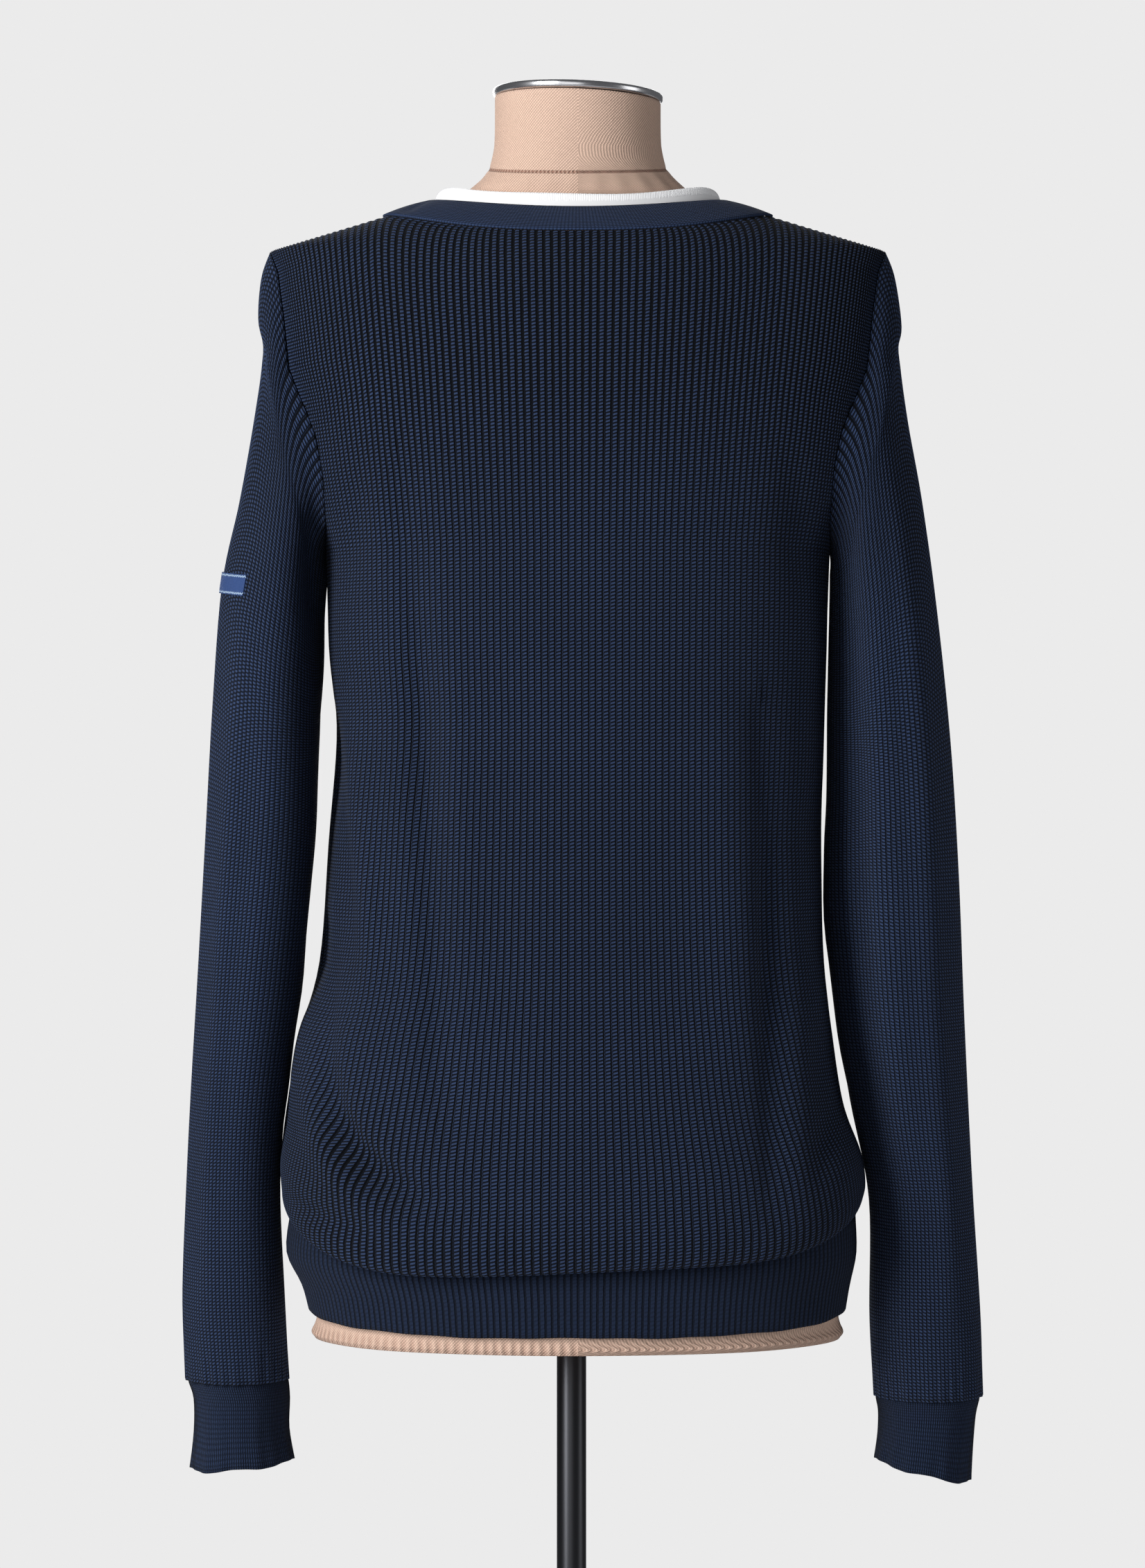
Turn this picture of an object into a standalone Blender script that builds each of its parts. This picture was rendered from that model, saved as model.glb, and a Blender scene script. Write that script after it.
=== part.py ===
"""A ribbed V-neck cardigan, buttoned up, on a limbless dress form with a pole and a round base.

The front faces -Y, the wearer's left is +X, and the floor is z = 0. Lengths are metres.
Heights in the tables are measured up from the form's bottom edge, and widths from the form's axis.
"""

import math
from collections import namedtuple

import bmesh
import bpy
import numpy as np

# Stand
FORM_BOTTOM = 0.800
FORM_X = 0.0029
POLE_X = 0.0067
POLE_RADIUS = 0.0089
BASE_RADIUS = 0.180
BASE_THICKNESS = 0.010
COLLAR_RADIUS = 0.017
COLLAR_HEIGHT = 0.032
PLATE_RADIUS = 0.0515
PLATE_THICKNESS = 0.0045
PLATE_HEIGHT = 0.7494
NECK_TILT = 0.040  # the neck's top and its plate are higher on the wearer's left
NECK_TILT_FROM = 0.720

# Cloth
WALL = 0.0023
GROOVE = 0.0011  # depth between two raised ribs
SEAM = 0.0003
HALF_SEAM = 0.0002
BACK_RIBS = 42
FRONT_RIBS = 20
SLEEVE_RIBS = 28
INSIDE_STEP = 4  # the plain inside has one column for this many outside
UPPER_ROWS = 6
RIB_SPREAD = 0.17  # how much the ribs open out over the shoulder blades

# Shoulder and neckline
TIP_X = 0.186
TIP_HEIGHT = 0.6555
NECK_POINT_X = 0.118
SHOULDER_SLOPE = 0.302
BACK_NECK_HEIGHT = 0.6585
RIDGE_REACH = 0.985
RIDGE_ROUND = 0.010
NECK_CURVE = 2.5
V_HEIGHT = 0.480

# Front band, neckband and trim
BAND_WIDTH = 0.027
BAND_WALL = 0.0020
BAND_STEP = 0.0027  # the upper band's free edge lies this much over the panel, and the lower one's under it
BAND_STEP_GONE = 0.5  # how far up the shoulder part the step has faded away
BAND_RUN = (-0.0238, 0.0127)  # across the band along the V
BAND_TOP_X = 0.092
BAND_TOP_HEIGHT = 0.6848
BAND_BACK_DEPTH = 0.066
BAND_BACK_HEIGHT = 0.6756
TRIM_WALL = 0.0015
TRIM_RISE = 0.0086
TRIM_TUCK = 0.0030
TRIM_LOW = (0.965, 0.957, 1)  # how much nearer the neck its two edges are than the neckband's free edge
TRIM_HIGH = (0.955, 0.930, 1)
TRIM_END = 0.30
TRIM_DROP = 0.75
BUTTON_HEIGHTS = (0.465, 0.378, 0.291, 0.204, 0.117, 0.030)
BUTTON_RADIUS = 0.009
BUTTON_THICKNESS = 0.003

# Body, from the seam on the hem band, round the overhanging fold and up to the underarm.
# lift is how much higher the ring is at the sides. sway is how much it drops on the left of the middle
# and rises on the right.
Ring = namedtuple("Ring", "height left right back front power sway lift")
BODY = [
    Ring(0.0648, 0.1745, 0.1683, 0.1113, 0.1139, 2.25, 0.0000, 0.0090),
    Ring(0.0605, 0.1750, 0.1689, 0.1148, 0.1160, 2.30, 0.0015, 0.0165),
    Ring(0.0525, 0.1757, 0.1696, 0.1166, 0.1176, 2.35, 0.0030, 0.0285),
    Ring(0.0495, 0.1772, 0.1712, 0.1203, 0.1210, 2.50, 0.0035, 0.0340),
    Ring(0.0545, 0.1785, 0.1726, 0.1236, 0.1243, 2.60, 0.0035, 0.0340),
    Ring(0.0700, 0.1792, 0.1736, 0.1248, 0.1252, 2.60, 0.0025, 0.0250),
    Ring(0.1000, 0.1796, 0.1712, 0.1238, 0.1240, 2.55, 0.0010, 0.0110),
    Ring(0.1400, 0.1762, 0.1610, 0.1208, 0.1214, 2.45, 0.0000, 0.0000),
    Ring(0.1800, 0.1690, 0.1545, 0.1178, 0.1200, 2.40, 0.0000, 0.0000),
    Ring(0.2270, 0.1565, 0.1490, 0.1148, 0.1186, 2.40, 0.0000, 0.0000),
    Ring(0.3000, 0.1510, 0.1475, 0.1112, 0.1172, 2.40, 0.0000, 0.0000),
    Ring(0.3650, 0.1462, 0.1490, 0.1094, 0.1166, 2.40, 0.0000, 0.0000),
    Ring(0.4150, 0.1505, 0.1505, 0.1088, 0.1165, 2.40, 0.0000, 0.0000),
    Ring(0.4740, 0.1525, 0.1525, 0.1085, 0.1160, 2.40, 0.0000, 0.0000),
]
LIFT_POWER = 7
FOLDS_FROM = 4.0  # the row where the folds begin to show
UNDERARM = BODY[-1]

# Shoulders, as rings that run on past the armholes to where the arms would be
Shoulder = namedtuple("Shoulder", "height half_width back front power")
SHOULDERS = [
    Shoulder(0.4740, 0.1525, 0.1085, 0.1160, 2.40),
    Shoulder(0.5100, 0.1680, 0.1098, 0.1110, 2.40),
    Shoulder(0.5450, 0.1800, 0.1098, 0.1040, 2.35),
    Shoulder(0.5800, 0.1880, 0.1080, 0.0955, 2.30),
    Shoulder(0.6100, 0.1905, 0.1042, 0.0865, 2.20),
    Shoulder(0.6350, 0.1900, 0.0982, 0.0765, 2.10),
    Shoulder(0.6555, 0.1860, 0.0890, 0.0665, 2.00),
    Shoulder(0.6690, 0.1413, 0.0752, 0.0600, 2.00),
    Shoulder(0.6880, 0.0784, 0.0560, 0.0530, 2.00),
]

Armhole = namedtuple("Armhole", "height x")
ARMHOLE = [
    Armhole(0.4740, 0.1525),
    Armhole(0.4900, 0.1500),
    Armhole(0.5150, 0.1510),
    Armhole(0.5370, 0.1545),
    Armhole(0.5510, 0.1595),
    Armhole(0.5640, 0.1650),
    Armhole(0.5800, 0.1715),
    Armhole(0.6110, 0.1750),
    Armhole(0.6400, 0.1795),
    Armhole(0.6555, 0.1860),
]

Hem = namedtuple("Hem", "height left right back front lift")
HEM = [
    Hem(0.0095, 0.1629, 0.1622, 0.1106, 0.1132, 0.000),
    Hem(0.0300, 0.1672, 0.1648, 0.1107, 0.1133, 0.000),
    Hem(0.0480, 0.1762, 0.1686, 0.1109, 0.1135, 0.003),
    Hem(0.0643, 0.1742, 0.1680, 0.1111, 0.1137, 0.009),
]
HEM_POWER = 2.25

# Folds of the body, as seen from behind or from in front: points of the crease, how wide and how deep.
# A depth under zero is a trough and one over zero a ridge.
Fold = namedtuple("Fold", "path width depth")
BACK_FOLDS = [
    Fold(((0.105, 0.518), (0.096, 0.427), (0.090, 0.314), (0.084, 0.225), (0.083, 0.170)), 0.013, -0.0032),
    Fold(((-0.108, 0.376), (-0.113, 0.300), (-0.114, 0.180), (-0.114, 0.084)), 0.012, -0.0030),
    Fold(((-0.127, 0.240), (-0.131, 0.150), (-0.132, 0.075)), 0.010, 0.0025),
    Fold(((0.152, 0.215), (0.154, 0.165), (0.139, 0.126), (0.114, 0.104), (0.080, 0.094)), 0.010, -0.0060),
    Fold(((0.150, 0.098), (0.120, 0.082), (0.090, 0.073)), 0.012, 0.0025),
    Fold(((0.172, 0.090), (0.157, 0.083), (0.138, 0.077)), 0.008, -0.0030),
    Fold(((0.137, 0.353), (0.133, 0.314), (0.129, 0.270)), 0.009, -0.0035),
    Fold(((-0.144, 0.170), (-0.152, 0.128), (-0.140, 0.095)), 0.010, -0.0030),
    Fold(((0.020, 0.300), (0.016, 0.220), (0.014, 0.140)), 0.030, 0.0020),
    Fold(((-0.050, 0.420), (-0.055, 0.300), (-0.058, 0.160)), 0.026, -0.0018),
]
FRONT_FOLDS = [
    Fold(((0.070, 0.430), (0.076, 0.320), (0.074, 0.200)), 0.016, -0.0034),
    Fold(((-0.066, 0.415), (-0.074, 0.300), (-0.080, 0.170)), 0.016, -0.0032),
    Fold(((0.114, 0.260), (0.118, 0.180), (0.110, 0.110)), 0.016, -0.0030),
    Fold(((-0.112, 0.330), (-0.116, 0.220), (-0.112, 0.120)), 0.016, -0.0028),
    Fold(((0.100, 0.150), (0.078, 0.110), (0.048, 0.094)), 0.015, -0.0036),
    Fold(((-0.128, 0.150), (-0.104, 0.112), (-0.070, 0.096)), 0.015, -0.0034),
    Fold(((0.040, 0.360), (0.044, 0.260), (0.040, 0.160)), 0.018, 0.0020),
]

# Sleeves, from the armhole down: the outer edge, the edge next to the body, and the depth front to back
SleeveRing = namedtuple("SleeveRing", "outer_x outer_height inner_x inner_height half_depth y")
LEFT_SLEEVE = [
    SleeveRing(0.1864, 0.6555, 0.1529, 0.4740, 0.0600, 0.000),
    SleeveRing(0.1916, 0.6400, 0.1545, 0.4660, 0.0610, 0.000),
    SleeveRing(0.1934, 0.6160, 0.1555, 0.4550, 0.0615, 0.000),
    SleeveRing(0.1908, 0.5930, 0.1562, 0.4440, 0.0610, 0.000),
    SleeveRing(0.1950, 0.5600, 0.1570, 0.4290, 0.0600, -0.001),
    SleeveRing(0.2046, 0.5060, 0.1575, 0.4050, 0.0590, -0.002),
    SleeveRing(0.2155, 0.4550, 0.1576, 0.3720, 0.0580, -0.003),
    SleeveRing(0.2215, 0.3820, 0.1580, 0.3350, 0.0570, -0.005),
    SleeveRing(0.2262, 0.3000, 0.1605, 0.2900, 0.0550, -0.007),
    SleeveRing(0.2310, 0.2170, 0.1700, 0.2170, 0.0520, -0.009),
    SleeveRing(0.2350, 0.1500, 0.1785, 0.1500, 0.0490, -0.010),
    SleeveRing(0.2380, 0.0900, 0.1812, 0.0900, 0.0460, -0.011),
    SleeveRing(0.2405, 0.0220, 0.1784, 0.0220, 0.0420, -0.012),
    SleeveRing(0.2385, -0.0280, 0.1755, -0.0280, 0.0370, -0.012),
]
RIGHT_SLEEVE = [
    SleeveRing(0.1864, 0.6555, 0.1529, 0.4740, 0.0600, 0.000),
    SleeveRing(0.1920, 0.6400, 0.1545, 0.4660, 0.0610, 0.000),
    SleeveRing(0.1960, 0.6110, 0.1552, 0.4550, 0.0615, 0.000),
    SleeveRing(0.1946, 0.5930, 0.1556, 0.4440, 0.0610, 0.000),
    SleeveRing(0.1995, 0.5550, 0.1560, 0.4260, 0.0605, -0.001),
    SleeveRing(0.2085, 0.5050, 0.1560, 0.4000, 0.0600, -0.002),
    SleeveRing(0.2175, 0.4400, 0.1550, 0.3660, 0.0590, -0.003),
    SleeveRing(0.2260, 0.3600, 0.1545, 0.3280, 0.0580, -0.005),
    SleeveRing(0.2312, 0.2800, 0.1545, 0.2780, 0.0560, -0.007),
    SleeveRing(0.2345, 0.2000, 0.1590, 0.2000, 0.0540, -0.009),
    SleeveRing(0.2375, 0.1360, 0.1672, 0.1360, 0.0510, -0.010),
    SleeveRing(0.2405, 0.0800, 0.1772, 0.0800, 0.0470, -0.011),
    SleeveRing(0.2450, 0.0100, 0.1775, 0.0100, 0.0430, -0.012),
    SleeveRing(0.2462, -0.0380, 0.1800, -0.0380, 0.0380, -0.012),
]
SEAT_ROWS = 3.0  # the sleeve goes over from the armhole's outline to an oval in this many rows

# Creases along a sleeve: where round it (degrees from the outer edge towards the back), from which row to which
SleeveFold = namedtuple("SleeveFold", "turn first last width depth")
SLEEVE_FOLDS = [
    SleeveFold(118, 2.0, 8.5, 16, 0.0030),
    SleeveFold(82, 3.0, 9.5, 20, -0.0024),
    SleeveFold(38, 7.0, 13.0, 16, -0.0020),
    SleeveFold(250, 3.0, 9.0, 18, -0.0030),
    SleeveFold(300, 6.0, 12.5, 18, 0.0022),
    SleeveFold(150, 9.0, 13.0, 14, -0.0016),
]

Cuff = namedtuple("Cuff", "outer_x outer_height inner_x inner_height half_depth y")
LEFT_CUFF = [
    Cuff(0.2370, -0.0285, 0.1762, -0.0285, 0.0355, -0.012),
    Cuff(0.2336, -0.0400, 0.1750, -0.0400, 0.0340, -0.012),
    Cuff(0.2332, -0.0600, 0.1752, -0.0580, 0.0335, -0.012),
    Cuff(0.2352, -0.0825, 0.1720, -0.0765, 0.0345, -0.012),
]
RIGHT_CUFF = [
    Cuff(0.2445, -0.0385, 0.1812, -0.0385, 0.0360, -0.012),
    Cuff(0.2420, -0.0500, 0.1826, -0.0480, 0.0345, -0.012),
    Cuff(0.2400, -0.0700, 0.1820, -0.0620, 0.0340, -0.012),
    Cuff(0.2385, -0.0900, 0.1800, -0.0760, 0.0345, -0.012),
]

# Label on the outer edge of the left sleeve
LABEL_HEIGHT = 0.456
LABEL_WIDTH = 0.0125
LABEL_TILT = 0.004
LABEL_RIBS = (-2, 4)  # from which of the sleeve's ribs to which
LABEL_OFF = 0.0004
LABEL_WALL = 0.0007

# Dress form
Girth = namedtuple("Girth", "height half_width back front power")
FORM = [
    Girth(0.0000, 0.1585, 0.1050, 0.1045, 2.25),
    Girth(0.0030, 0.1606, 0.1072, 0.1070, 2.25),
    Girth(0.0070, 0.1590, 0.1068, 0.1068, 2.25),
    Girth(0.0110, 0.1578, 0.1062, 0.1066, 2.25),
    Girth(0.0600, 0.1575, 0.1060, 0.1060, 2.25),
    Girth(0.1100, 0.1530, 0.1050, 0.1045, 2.3),
    Girth(0.1800, 0.1440, 0.0980, 0.1000, 2.4),
    Girth(0.2900, 0.1300, 0.0810, 0.0890, 2.4),
    Girth(0.3600, 0.1330, 0.0830, 0.0960, 2.4),
    Girth(0.4300, 0.1410, 0.0930, 0.1080, 2.4),
    Girth(0.4740, 0.1460, 0.0990, 0.1090, 2.4),
    Girth(0.5300, 0.1590, 0.1020, 0.1000, 2.35),
    Girth(0.5800, 0.1690, 0.1010, 0.0870, 2.3),
    Girth(0.6200, 0.1740, 0.0955, 0.0740, 2.15),
    Girth(0.6400, 0.1730, 0.0870, 0.0650, 2.05),
    Girth(0.6510, 0.1680, 0.0780, 0.0580, 2.0),
    Girth(0.6570, 0.1570, 0.0690, 0.0530, 2.0),
    Girth(0.6690, 0.1235, 0.0555, 0.0480, 2.0),
    Girth(0.6780, 0.0950, 0.0515, 0.0465, 2.0),
    Girth(0.6850, 0.0750, 0.0508, 0.0478, 2.0),
    Girth(0.6920, 0.0670, 0.0510, 0.0490, 2.0),
    Girth(0.7000, 0.0580, 0.0505, 0.0495, 2.0),
    Girth(0.7070, 0.0534, 0.0502, 0.0495, 2.0),
    Girth(0.7200, 0.0506, 0.0500, 0.0495, 2.0),
    Girth(0.7490, 0.0502, 0.0498, 0.0495, 2.0),
]
FORM_SIDES = 28

FINISHES = {
    "knit": ((0.012, 0.019, 0.040, 1.0), 0.85, 0.0),
    "fine_rib": ((0.013, 0.021, 0.043, 1.0), 0.80, 0.0),
    "white_rib": ((0.85, 0.86, 0.86, 1.0), 0.80, 0.0),
    "woven_label": ((0.035, 0.110, 0.380, 1.0), 0.60, 0.0),
    "button": ((0.012, 0.018, 0.035, 1.0), 0.30, 0.0),
    "canvas": ((0.560, 0.400, 0.300, 1.0), 0.85, 0.0),
    "chrome": ((0.700, 0.700, 0.710, 1.0), 0.15, 1.0),
    "gunmetal": ((0.045, 0.046, 0.052, 1.0), 0.38, 0.9),
}


def between(table, v):
    """The columns of a table at row number v, on a smooth curve through its rows."""
    rows = np.array(table, float)
    last = len(rows) - 1
    v = np.clip(np.asarray(v, float), 0.0, last)
    i = np.minimum(v.astype(int), last - 1)
    t = (v - i)[..., None]
    start = rows[i]
    end = rows[i + 1]
    leaving = (end - rows[np.maximum(i - 1, 0)]) / 2
    arriving = (rows[np.minimum(i + 2, last)] - start) / 2
    return (
        (2 * t**3 - 3 * t**2 + 1) * start
        + (t**3 - 2 * t**2 + t) * leaving
        + (3 * t**2 - 2 * t**3) * end
        + (t**3 - t**2) * arriving
    )


def at_height(table, height):
    """The columns of a table whose first column is the height, at each height."""
    heights = [row.height for row in table]
    return between(table, np.interp(height, heights, np.arange(len(heights))))


def quarter(share, half_width, depth, power):
    """A point that share of the way along a rounded quarter ring, from its middle to its side."""
    turn = np.linspace(0, math.pi / 2, 61)
    x = half_width * np.sin(turn) ** (2 / power)
    y = depth * np.cos(turn) ** (2 / power)
    run = np.concatenate([[0], np.cumsum(np.hypot(np.diff(x), np.diff(y)))])
    return np.interp(share * run[-1], run, x), np.interp(share * run[-1], run, y)


def share_of(x, half_width, depth, power):
    """How far along the quarter ring a point at x lies."""
    shares = np.linspace(0, 1, 201)
    return float(np.interp(x, quarter(shares, half_width, depth, power)[0], shares))


def fold_height(folds, x, height):
    """How far the folds raise or sink the cloth at places seen square on."""
    total = np.zeros_like(x)
    for fold in folds:
        path = np.array(fold.path)
        legs = np.hypot(*np.diff(path, axis=0).T)
        start = np.concatenate([[0], np.cumsum(legs)])
        best = np.full_like(x, np.inf)
        where = np.zeros_like(x)
        for a, b, leg, begun in zip(path[:-1], path[1:], legs, start[:-1]):
            along = ((x - a[0]) * (b[0] - a[0]) + (height - a[1]) * (b[1] - a[1])) / leg**2
            along = np.clip(along, 0, 1)
            away = np.hypot(x - a[0] - along * (b[0] - a[0]), height - a[1] - along * (b[1] - a[1]))
            nearer = away < best
            best = np.where(nearer, away, best)
            where = np.where(nearer, (begun + along * leg) / start[-1], where)
        fade = np.sin(math.pi * (0.12 + 0.76 * where))
        total += fold.depth * fade * np.exp(-((best / fold.width) ** 2))
    return total


def ring_points(face, share, v):
    """Points on the body below the underarm. face is +1 for the back and -1 for the front."""
    height, left, right, back, front, power, sway, lift = between(BODY, v)
    depth = back if face > 0 else front
    on_left = quarter(np.abs(share), left, depth, power)
    on_right = quarter(np.abs(share), right, depth, power)
    x = np.where(share > 0, on_left[0], -on_right[0])
    y = np.where(share > 0, on_left[1], on_right[1])
    z = height - sway * np.sin(math.pi * share) + lift * np.sin(np.abs(share) * math.pi / 2) ** LIFT_POWER
    return np.stack([x, face * y, z], axis=-1)


def surface_depth(face, x, height):
    """How far the shoulder part stands out from the middle plane at x and height."""
    columns = at_height(SHOULDERS, height)
    ridge = TIP_X - (height - TIP_HEIGHT) / SHOULDER_SLOPE
    half_width = np.where(height > TIP_HEIGHT, ridge, columns[..., 1])
    depth = columns[..., 2] if face > 0 else columns[..., 3]
    power = columns[..., 4]
    ratio = np.clip(np.abs(x) / half_width, 0, 1)
    return depth * (1 - ratio**power) ** (1 / power)


def surface_normal(face, x, height):
    """The outward direction of the shoulder part. Just short of the ridge it turns upwards."""
    columns = at_height(SHOULDERS, height)
    ridge = TIP_X - (height - TIP_HEIGHT) / SHOULDER_SLOPE
    half_width = np.where(height > TIP_HEIGHT, ridge, columns[..., 1])
    size = np.minimum(np.abs(x), half_width * RIDGE_REACH)
    step = 0.0003
    by_x = (surface_depth(face, size, height) - surface_depth(face, size - step, height)) / step
    low = surface_depth(face, size, height - step)
    by_height = (surface_depth(face, size, height) - low) / step
    # Along the shoulder seam the edges of back and front meet flat, so there it has no part towards the face.
    square = face * np.clip(surface_depth(face, x, height) / RIDGE_ROUND, 0, 1)
    direction = np.stack([-np.sign(x) * by_x, square, -by_height], axis=-1)
    return direction / np.linalg.norm(direction, axis=-1, keepdims=True)


def top_height(face, x):
    """The height of the shoulder seam at x or, at the back's middle, of the neckline."""
    across = np.abs(x)
    ridge = TIP_HEIGHT + (TIP_X - across) * SHOULDER_SLOPE
    if face < 0:
        return ridge
    neck_point = TIP_HEIGHT + (TIP_X - NECK_POINT_X) * SHOULDER_SLOPE
    share = np.clip(across / NECK_POINT_X, 0, 1)
    neckline = BACK_NECK_HEIGHT + (neck_point - BACK_NECK_HEIGHT) * share**NECK_CURVE
    return np.where(across < NECK_POINT_X, neckline, ridge)


def upper_points(face, x, rise):
    """Points between the underarm (rise 0) and the shoulder seam or neckline (rise 1)."""
    top = top_height(face, x)
    height = top - (top - UNDERARM.height) * (1 - rise) ** 2
    return np.stack([x, face * surface_depth(face, x, height), height], axis=-1)


def armhole_x(height):
    return np.interp(height, [row.height for row in ARMHOLE], [row.x for row in ARMHOLE])


def neck_edge_x(height):
    """Where a front's edge is: beside the band up to the V, and then along the V."""
    run = (NECK_POINT_X - BAND_WIDTH / 2) / (top_height(-1, NECK_POINT_X) - V_HEIGHT)
    return BAND_WIDTH / 2 + np.maximum(height - V_HEIGHT, 0) * run


def meeting_x(edge, face, rise):
    """Where a row of the shoulder part meets an edge that is given as x for each height."""
    x = TIP_X
    for _ in range(40):
        x = float(edge(upper_points(face, np.array([x]), rise)[0, 2]))
    return x


def normals(points_at, across, v, step):
    """Outward directions of a surface, from how it runs each way."""
    sideways = points_at(across + step, v) - points_at(across - step, v)
    upwards = points_at(across, v + 0.02) - points_at(across, v - 0.02)
    direction = np.cross(sideways, upwards)
    return direction / np.linalg.norm(direction, axis=-1, keepdims=True)


def body_wall(face, side, ribs):
    """Outer and inner points of a panel, row by row. side is 0 for the whole back, or +1 or -1 for a front."""
    columns = 2 * ribs
    shares = np.linspace(-1, 1, columns + 1) if side == 0 else side * np.linspace(0, 1, columns + 1)
    folds = BACK_FOLDS if face > 0 else FRONT_FOLDS
    outer = []
    inner = []
    last = len(BODY) - 1
    at_underarm = ring_points(face, shares, last)[:, 0]
    rows = list(range(last + 1)) + [last + (k + 1) / UPPER_ROWS for k in range(UPPER_ROWS)]
    for v in rows:
        if v <= last:
            across = shares
            if side != 0:
                ring = BODY[v]
                width = ring.left if side > 0 else ring.right
                least = share_of(BAND_WIDTH / 2 + SEAM, width, ring.front, ring.power)
                across = side * np.maximum(np.abs(shares), least)
            points = ring_points(face, across, v)
            # The ring runs towards +X and the rows upwards, so the back's cross product points in.
            outward = -face * normals(lambda p, w: ring_points(face, p, w), across, float(v), 0.002)
            edge = np.abs(np.abs(across) - np.abs(shares)) > 1e-9
        else:
            rise = v - last
            widest = meeting_x(armhole_x, face, rise)
            spread = 1 + RIB_SPREAD * math.sin(rise * math.pi / 2)
            at_edge = max(spread, widest / UNDERARM.left)
            wanted = at_underarm * (spread + (at_edge - spread) * np.abs(shares) ** 4)
            size = np.minimum(np.abs(wanted), widest)
            if side != 0:
                size = np.maximum(size, meeting_x(neck_edge_x, face, rise) + SEAM)
            across = np.where(wanted < 0, -size, size) if side == 0 else side * size
            points = upper_points(face, across, rise)
            outward = surface_normal(face, points[:, 0], points[:, 2])
            edge = np.abs(size - np.abs(wanted)) > 1e-9
        if face < 0:
            points[:, 1] -= HALF_SEAM
        else:
            points[:, 1] += HALF_SEAM
        shown = min(max((v - FOLDS_FROM) / 2, 0.0), 1.0)
        points = points + outward * shown * fold_height(folds, points[:, 0], points[:, 2])[:, None]
        groove = np.where((np.arange(columns + 1) % 2 == 1) & ~edge, 0.0, GROOVE)
        outer.append(points - outward * groove[:, None])
        inner.append((points - outward * WALL)[::INSIDE_STEP])
    return np.array(outer), np.array(inner)


def hem_wall(face, first, last, columns):
    """Outer and inner points of a stretch of the hem band, between two shares of a turn."""
    outer = []
    inner = []
    for row in HEM:
        depth = row.back if face > 0 else row.front
        shares = np.linspace(first, last, columns + 1)
        if face < 0:
            width = row.left if last > 0 else row.right
            least = share_of(BAND_WIDTH / 2 + SEAM, width, depth, HEM_POWER)
            shares = np.sign(last) * np.maximum(np.abs(shares), least)
        for layer, off in ((outer, 0.0), (inner, WALL)):
            left = quarter(np.abs(shares), row.left - off, depth - off, HEM_POWER)
            right = quarter(np.abs(shares), row.right - off, depth - off, HEM_POWER)
            x = np.where(shares > 0, left[0], -right[0])
            y = np.where(shares > 0, left[1], right[1])
            z = row.height + row.lift * np.sin(np.abs(shares) * math.pi / 2) ** LIFT_POWER
            layer.append(np.stack([x, face * (y + HALF_SEAM), z], axis=-1))
    return np.array(outer), np.array(inner)


def oval(ring, turn):
    """A point on a sleeve's ring, turn round it from its outer edge towards the back."""
    outer_x, outer_height, inner_x, inner_height, half_depth, y = ring
    reach = np.cos(turn)
    x = (outer_x + inner_x) / 2 + reach * (outer_x - inner_x) / 2
    z = (outer_height + inner_height) / 2 + reach * (outer_height - inner_height) / 2
    return np.stack([x, y + half_depth * np.sin(turn), z], axis=-1)


def armhole_edge(face):
    """The points of a panel's edge at the armhole, from the underarm to the shoulder tip."""
    rises = [k / UPPER_ROWS for k in range(UPPER_ROWS + 1)]
    return np.array([upper_points(face, np.array([meeting_x(armhole_x, face, r)]), r)[0] for r in rises])


def armhole_points(turn):
    """The armhole's outline, which the sleeve's head is sewn to."""
    middle = (TIP_HEIGHT + UNDERARM.height) / 2
    height = middle + np.cos(turn) * (TIP_HEIGHT - UNDERARM.height) / 2
    back = armhole_edge(1)
    front = armhole_edge(-1)
    behind = np.sin(turn) > 0
    x = np.where(behind, np.interp(height, back[:, 2], back[:, 0]), np.interp(height, front[:, 2], front[:, 0]))
    y = np.where(behind, np.interp(height, back[:, 2], back[:, 1]), np.interp(height, front[:, 2], front[:, 1]))
    return np.stack([x + SEAM + HALF_SEAM, y + HALF_SEAM * np.sign(np.sin(turn)), height], axis=-1)


def sleeve_points(table, turn, v):
    """Points on a left-hand sleeve, turn round it and v rows down."""
    seated = max(0.0, 1 - v / SEAT_ROWS) ** 1.5
    return oval(between(table, v), turn) + seated * (armhole_points(turn) - oval(table[0], turn))


def sleeve_fold_height(turn, v):
    total = np.zeros_like(turn)
    for fold in SLEEVE_FOLDS:
        if not fold.first < v < fold.last:
            continue
        fade = math.sin(math.pi * (v - fold.first) / (fold.last - fold.first))
        away = (np.degrees(turn) - fold.turn + 180) % 360 - 180
        total += fold.depth * fade * np.exp(-((away / fold.width) ** 2))
    return total


def sleeve_row(table, turn, v):
    """Points and outward directions of one row of a sleeve."""
    points = sleeve_points(table, turn, v)
    low = max(v - 0.02, 0.0)
    around = sleeve_points(table, turn + 0.005, v) - sleeve_points(table, turn - 0.005, v)
    down = sleeve_points(table, turn, v + 0.02) - sleeve_points(table, turn, low)
    if v + 0.02 > len(table) - 1:
        down = sleeve_points(table, turn, v) - sleeve_points(table, turn, v - 0.05)
    outward = np.cross(down, around)
    outward /= np.linalg.norm(outward, axis=-1, keepdims=True)
    middle = points.mean(axis=0)
    outward *= np.sign(np.sum(outward * (points - middle), axis=-1, keepdims=True))
    # At the armhole the wall's edge faces the panels' edge, so its thickness runs across the opening.
    flat = points - middle
    flat[:, 0] = 0
    flat /= np.linalg.norm(flat, axis=-1, keepdims=True)
    blend = max(0.0, 1 - v)
    outward = outward * (1 - blend) + flat * blend
    return points, outward / np.linalg.norm(outward, axis=-1, keepdims=True)


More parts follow.
